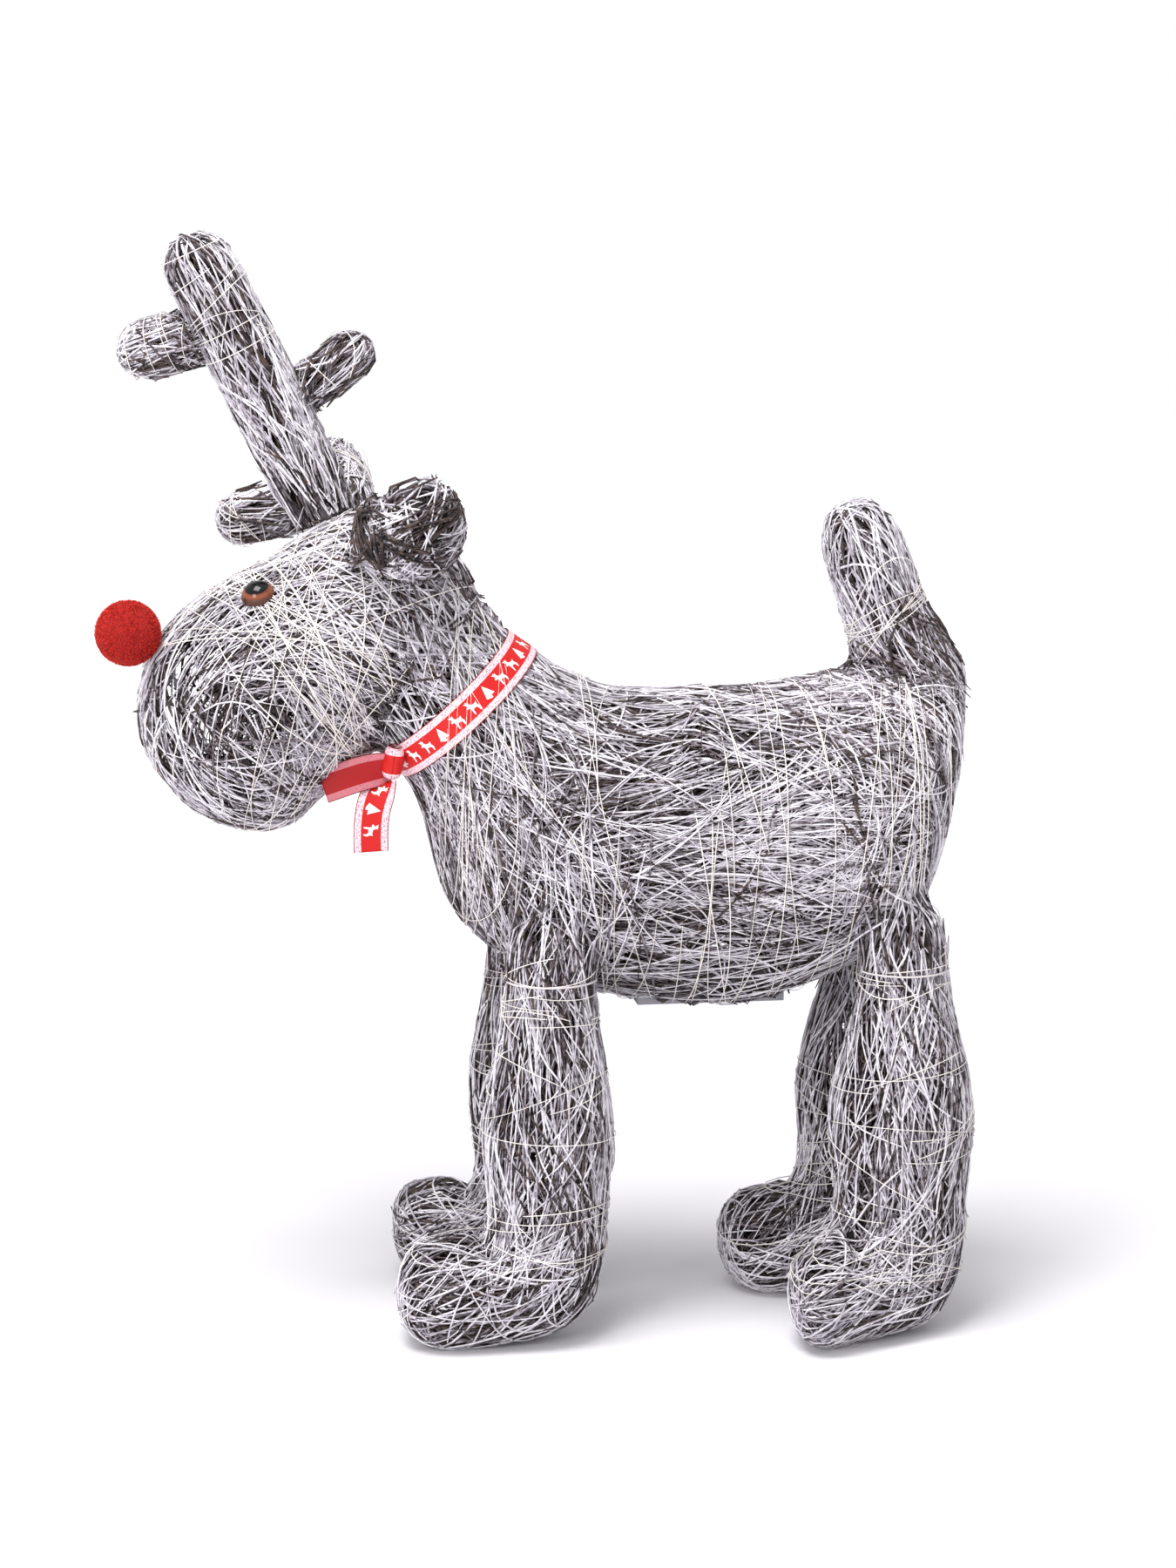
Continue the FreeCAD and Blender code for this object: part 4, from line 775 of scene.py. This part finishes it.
def ribbon_weave(name, red, pale, dark):
    """Grosgrain: ribs run across it, their grooves darkened as painted shade, and the borders are flecked.
    It reads its own flat length.
    """

    def build(tree):
        flat = add(tree, "ShaderNodeUVMap", uv_map="flat")
        split = add(tree, "ShaderNodeSeparateXYZ", {"Vector": flat.outputs["UV"]})
        along = split.outputs["X"]
        across = add(tree, "ShaderNodeMath", {0: split.outputs["Y"]}, operation="ABSOLUTE").outputs[0]
        turns = add(tree, "ShaderNodeMath", {0: along, 1: math.tau / RIB}, operation="MULTIPLY")
        wave = add(tree, "ShaderNodeMath", {0: turns.outputs[0]}, operation="SINE")
        # Each rib's groove is painted darker, toward the edge colour, as painted shade.
        ribs = add(
            tree,
            "ShaderNodeMapRange",
            {"Value": wave.outputs[0], "From Min": -1.0, "From Max": 1.0, "To Min": 0.0, "To Max": 0.35},
        )
        middle = add(
            tree,
            "ShaderNodeMix",
            {0: ribs.outputs["Result"], 6: colour(red), 7: colour(dark)},
            data_type="RGBA",
        )
        # Flecks lie about 1.2 mm apart.
        flecks = add(tree, "ShaderNodeTexVoronoi", {"Vector": flat.outputs["UV"], "Scale": 850.0})
        fleck = add(
            tree,
            "ShaderNodeMapRange",
            {
                "Value": flecks.outputs["Distance"],
                "From Min": 0.28,
                "From Max": 0.42,
                "To Min": 0.85,
                "To Max": 0.0,
            },
        )
        border = add(
            tree,
            "ShaderNodeMix",
            {0: fleck.outputs["Result"], 6: colour(pale), 7: colour("8C6A7C")},
            data_type="RGBA",
        )
        on_border = add(tree, "ShaderNodeMath", {0: across, 1: BORDER}, operation="GREATER_THAN")
        on_edge = add(tree, "ShaderNodeMath", {0: across, 1: EDGE}, operation="GREATER_THAN")
        body = add(
            tree,
            "ShaderNodeMix",
            {0: on_border.outputs[0], 6: middle.outputs[2], 7: border.outputs[2]},
            data_type="RGBA",
        )
        whole = add(
            tree,
            "ShaderNodeMix",
            {0: on_edge.outputs[0], 6: body.outputs[2], 7: colour(dark)},
            data_type="RGBA",
        )
        return {"Base Color": whole.outputs[2], "Roughness": 0.6, "Specular IOR Level": 0.3}

    return material(name, build)


# Polyester grosgrain, face side: saturated red with a faint sheen across the ribs and painted shade between
# them.
face_weave = ribbon_weave("grosgrain_face", "CF1A17", "F3CDD3", "8E0F18")
# The reverse is duller, and its borders show pink.
back_weave = ribbon_weave("grosgrain_back", "A81216", "C8727A", "6E0C14")
# Screen-printed white: flat and opaque.
white_print = plain("screen_print_white", "FBEDEE", 0.6)
# The same print from behind: it comes through the cloth as a faint pink.
faint_print = plain("print_seen_through", "DA6A6C", 0.6)


def ribbon_sheet(name, node, spot, length, weave):
    """A stretch of ribbon as a thin sheet. spot gives the place for (along, across, lift)."""
    shape = bmesh.new()
    along_steps = max(10, round(length / GRID))
    bmesh.ops.create_grid(shape, x_segments=along_steps, y_segments=12, size=0.5)
    layer = shape.loops.layers.uv.new("flat")
    for corner in shape.verts:
        flat = Vector(((corner.co.x + 0.5) * length, corner.co.y * RIBBON_WIDE))
        for loop in corner.link_loops:
            loop[layer].uv = flat
    for corner in shape.verts:
        corner.co = spot((corner.co.x + 0.5) * length, corner.co.y * RIBBON_WIDE, 0.0)
    piece = object_of(name, shape, weave)
    piece.data.shade_smooth()
    thick = piece.modifiers.new("cloth_thickness", "SOLIDIFY")
    thick.thickness = CLOTH_THICK
    thick.offset = -1.0
    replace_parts(piece, node)
    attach(piece, "reindeer")
    return piece


# Outlines of the print, in millimetres: along the ribbon, then across it towards its top edge.
FIR = (
    (0.7, -4.6), (0.7, -2.9), (3.4, -3.1), (1.6, -0.9), (2.5, -1.0), (1.0, 1.2), (1.7, 1.1), (0.0, 4.6),
    (-1.7, 1.1), (-1.0, 1.2), (-2.5, -1.0), (-1.6, -0.9), (-3.4, -3.1), (-0.7, -2.9), (-0.7, -4.6),
)
DEER = (
    (-3.4, 1.4), (-2.1, 2.3), (-2.9, 3.5), (-3.6, 4.6), (-2.3, 3.9), (-1.6, 4.8), (-1.3, 3.5),
    (-0.4, 4.4), (-0.7, 2.6), (0.1, 1.2), (2.4, 0.7), (3.7, 1.3), (3.2, -0.6), (3.9, -2.3), (3.3, -4.6),
    (2.6, -4.5), (2.5, -2.4), (1.6, -1.5), (-0.4, -1.5), (-1.1, -4.6), (-1.8, -4.5), (-1.6, -1.2),
    (-1.9, 0.6), (-3.2, 0.5),
)


def print_on(name, spot, length, made, start=0.006):
    """Prints reindeer and fir trees in turn along a stretch of ribbon."""
    shape = bmesh.new()
    count = int((length - start) / MOTIF_PITCH)
    for number in range(count):
        outline = FIR if number % 3 == 1 else DEER
        middle = start + MOTIF_PITCH * (number + 0.5)
        corners = [shape.verts.new((x * 0.001 + middle, y * 0.001, 0)) for x, y in outline]
        shape.faces.new(corners)
    bmesh.ops.triangulate(shape, faces=shape.faces)
    bmesh.ops.subdivide_edges(shape, edges=shape.edges, cuts=2, use_grid_fill=True)
    for corner in shape.verts:
        corner.co = spot(corner.co.x, corner.co.y, LIFT)
    piece = object_of(name, shape, made)
    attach(piece, "reindeer")
    return piece


def round_node(node, axle, start_towards):
    """The outside of a ring-shaped node, as (spot function, length round it)."""
    mesh = nodes[node].data
    tree = BVHTree.FromPolygons([v.co for v in mesh.vertices], [f.vertices for f in mesh.polygons])
    low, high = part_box(node)
    middle = (low + high) / 2
    cloud = np.array([tuple(v.co) for v in mesh.vertices])
    reaches = (cloud - np.array(middle)) @ np.array(axle)
    middle = middle + axle * float((reaches.min() + reaches.max()) / 2)
    first = (start_towards - axle * start_towards.dot(axle)).normalized()
    second = axle.cross(first)
    turns = RING_TURNS
    rows = []
    for share_across in (-RING_SHARE, 0.0, RING_SHARE):
        row = []
        for number in range(turns):
            angle = math.tau * number / turns
            out = first * math.cos(angle) + second * math.sin(angle)
            level = middle + axle * (share_across * RIBBON_WIDE / 2)
            hit = tree.ray_cast(level + out * 0.3, -out)[0]
            row.append(hit)
        # A place where the ring is open takes the nearest one that was found.
        for number in range(turns):
            if row[number] is None:
                known = [j for j in range(turns) if row[j] is not None]
                row[number] = row[min(known, key=lambda j: min(abs(j - number), turns - abs(j - number)))]
        rows.append(row)
    steps = [(rows[1][(i + 1) % turns] - rows[1][i]).length for i in range(turns)]
    lengths = np.concatenate([[0], np.cumsum(steps)])
    length = float(lengths[-1])

    def spot(along, across, lift):
        """The ring's outside, read between its three rows."""
        place = float(np.interp(along % (length + 1e-9), lengths, np.arange(turns + 1)))
        at = int(place) % turns
        part = place - int(place)
        share = min(max(across / (RIBBON_WIDE / 2) / RING_SHARE, -1.07), 1.07)
        sides = [row[at].lerp(row[(at + 1) % turns], part) for row in rows]
        out = (sides[1] - middle) - axle * (sides[1] - middle).dot(axle)
        other = sides[2] if share > 0 else sides[0]
        return sides[1] + (other - sides[1]) * abs(share) + out.normalized() * (lift + OFF_RING)

    return spot, length


_, (_, _, collar_axle) = own_lines("ribbon_collar")
if collar_axle.z < 0:
    collar_axle = -collar_axle
collar_spot, collar_length = round_node("ribbon_collar", collar_axle, Vector((-0.5, 0, -0.8)))
collar = ribbon_sheet("ribbon_collar_cloth", "ribbon_collar", collar_spot, collar_length, face_weave)
print_on("ribbon_collar_print", collar_spot, collar_length, white_print)

# The knot is one turn of ribbon drawn tight round the two ends. It is too small to show a motif.
# It sits up on the ribbon, a little off the middle of its solid.
knot_low, knot_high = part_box("ribbon_knot")
knot_middle = (knot_low + knot_high) / 2 + Vector((0.0, -0.004, 0.0065))
knot_up = Vector((0.14, -0.2, 0.97)).normalized()
knot_side = Vector((1, 0, 0)).cross(knot_up).normalized()
knot_right = knot_up.cross(knot_side).normalized()
KNOT_HALF = 0.0068
KNOT_ROUND = math.tau * KNOT_HALF


def knot_spot(along, across, lift):
    """Round the knot, which is creased, and drawn in at its ends."""
    angle = along / KNOT_HALF
    share = 2 * across / RIBBON_WIDE
    drawn = 1 - 0.4 * share**4 - 0.1 * math.sin(2 * angle + 3 * share) ** 2
    out = knot_right * math.sin(angle) + knot_side * math.cos(angle)
    return knot_middle + out * (KNOT_HALF * drawn + lift) + knot_up * across * 0.98


knot = ribbon_sheet("ribbon_knot_cloth", "ribbon_knot", knot_spot, KNOT_ROUND, face_weave)


def tail_spot(points, side, curled):
    """A hanging stretch along a smooth path, as (spot function, length). It leaves the knot curled."""
    path = geometry.interpolate_bezier(*points, PATH_POINTS)
    lengths = np.concatenate([[0], np.cumsum([(b - a).length for a, b in zip(path, path[1:])])])
    length = float(lengths[-1])

    def spot(along, across, lift):
        """The path's own place, with the cloth bowed a little across."""
        place = float(np.interp(along, lengths, np.arange(PATH_POINTS)))
        at = min(int(place), PATH_POINTS - 2)
        here = path[at].lerp(path[at + 1], place - at)
        way = (path[at + 1] - path[at]).normalized()
        flat = (side - way * side.dot(way)).normalized()
        flat.rotate(Quaternion(way, curled * (1 - share_between(along, 0, 0.55 * length)) ** 2))
        bow = (across / RIBBON_WIDE) ** 2 * 0.002
        face = flat.cross(way)
        if face.y > 0:
            face = -face
        return here + flat * across + face * (lift + bow)

    return spot, length


low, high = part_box("ribbon_long_tail")
hang = Vector(((low.x + high.x) / 2, low.y + 0.001, low.z))
long_spot, long_length = tail_spot(
    (
        Vector((high.x - 0.001, low.y + 0.004, high.z + 0.010)),
        Vector((hang.x + 0.001, low.y - 0.002, high.z + 0.003)),
        Vector((hang.x - 0.001, low.y, high.z - 0.012)),
        hang,
    ),
    Vector((1, 0, 0)),
    0.9,
)
long_tail = ribbon_sheet("ribbon_long_tail_cloth", "ribbon_long_tail", long_spot, long_length, face_weave)
print_on("ribbon_long_tail_print", long_spot, long_length, white_print, 0.001)

low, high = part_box("ribbon_short_tail")
short_spot, short_length = tail_spot(
    (
        Vector((high.x + 0.009, low.y + 0.003, high.z - 0.009)),
        Vector((high.x - 0.006, low.y + 0.001, high.z - 0.010)),
        Vector((low.x + 0.012, low.y + 0.001, low.z + 0.014)),
        Vector((low.x + 0.001, high.y - 0.002, low.z + 0.010)),
    ),
    Vector((0.15, 0.1, 0.95)),
    -0.5,
)
short_tail = ribbon_sheet(
    "ribbon_short_tail_cloth", "ribbon_short_tail", short_spot, short_length, back_weave
)
print_on("ribbon_short_tail_print", short_spot, short_length, faint_print, 0.001)

# ---------------------------------------------------------------- floor, light and camera
# A pale matt floor that fades into an all-white room, a large soft light above and a weaker
# one from the front left.
WHITE_FROM = 0.6  # the floor starts to fade to white this far from the middle
WHITE_BY = 1.9
FLOOR_HALF = 6.0


def fading_floor(tree):
    """Matt paint that takes on a glow with distance."""
    place = add(tree, "ShaderNodeTexCoord").outputs["Object"]
    far = add(tree, "ShaderNodeVectorMath", {0: place}, operation="LENGTH")
    glow = add(
        tree,
        "ShaderNodeMapRange",
        {
            "Value": far.outputs["Value"],
            "From Min": WHITE_FROM,
            "From Max": WHITE_BY,
            "To Min": 0.0,
            "To Max": 0.7,
        },
        interpolation_type="SMOOTHSTEP",
    )
    return {
        "Base Color": colour("F3F1F6"),
        "Roughness": 0.7,
        "Specular IOR Level": 0.1,
        "Emission Color": colour("FFFFFF"),
        "Emission Strength": glow.outputs["Result"],
    }


shape = bmesh.new()
bmesh.ops.create_grid(shape, x_segments=1, y_segments=1, size=FLOOR_HALF)
floor = object_of("floor", shape, material("matt_white_floor", fading_floor))

world = bpy.data.worlds.new("white_room")
bpy.context.scene.world = world
world.use_nodes = True
tree = world.node_tree
tree.nodes.clear()
rays = add(tree, "ShaderNodeLightPath").outputs
seen = add(tree, "ShaderNodeMath", {0: rays["Is Camera Ray"], 1: rays["Is Glossy Ray"]}, operation="MAXIMUM")
seen = add(tree, "ShaderNodeMath", {0: seen.outputs[0], 1: rays["Is Transmission Ray"]}, operation="MAXIMUM")
strength = add(tree, "ShaderNodeMapRange", {"Value": seen.outputs[0], "To Min": 0.66, "To Max": 1.0})
back = add(tree, "ShaderNodeBackground", {"Color": (1, 1, 1, 1), "Strength": strength.outputs[0]})
add(tree, "ShaderNodeOutputWorld", {"Surface": back.outputs[0]})

for name, place, wide, power in (
    ("top_light", (-0.5, -0.7, 2.4), 1.2, 52),
    ("front_light", (-1.6, -2.2, 1.3), 1.0, 30),
):
    lamp = bpy.data.lights.new(name, "AREA")
    lamp.size = wide
    lamp.energy = power
    made = bpy.data.objects.new(name, lamp)
    made.location = place
    made.rotation_euler = (Vector((0, 0, 0.33)) - Vector(place)).to_track_quat("-Z", "Y").to_euler()
    bpy.context.collection.objects.link(made)

AZIMUTH = math.radians(-8)
ELEVATION = math.radians(10)
DISTANCE = 2.5
WIDE_VIEW = 0.7155  # width of the view where the camera looks
SENSOR_WIDE = 36  # mm
looked_at = Vector((0.0314, side_middle, 0.3315))
away = Vector((0, -1, 0))
away.rotate(Quaternion((1, 0, 0), -ELEVATION))
away.rotate(Quaternion((0, 0, 1), AZIMUTH))
lens = bpy.data.cameras.new("camera")
lens.sensor_fit = "HORIZONTAL"
lens.sensor_width = SENSOR_WIDE
lens.lens = SENSOR_WIDE * DISTANCE / WIDE_VIEW
camera = bpy.data.objects.new("camera", lens)
camera.location = looked_at + away * DISTANCE
camera.rotation_euler = (-away).to_track_quat("-Z", "Y").to_euler()
bpy.context.collection.objects.link(camera)
bpy.context.scene.camera = camera
bpy.context.scene.view_settings.view_transform = "Standard"
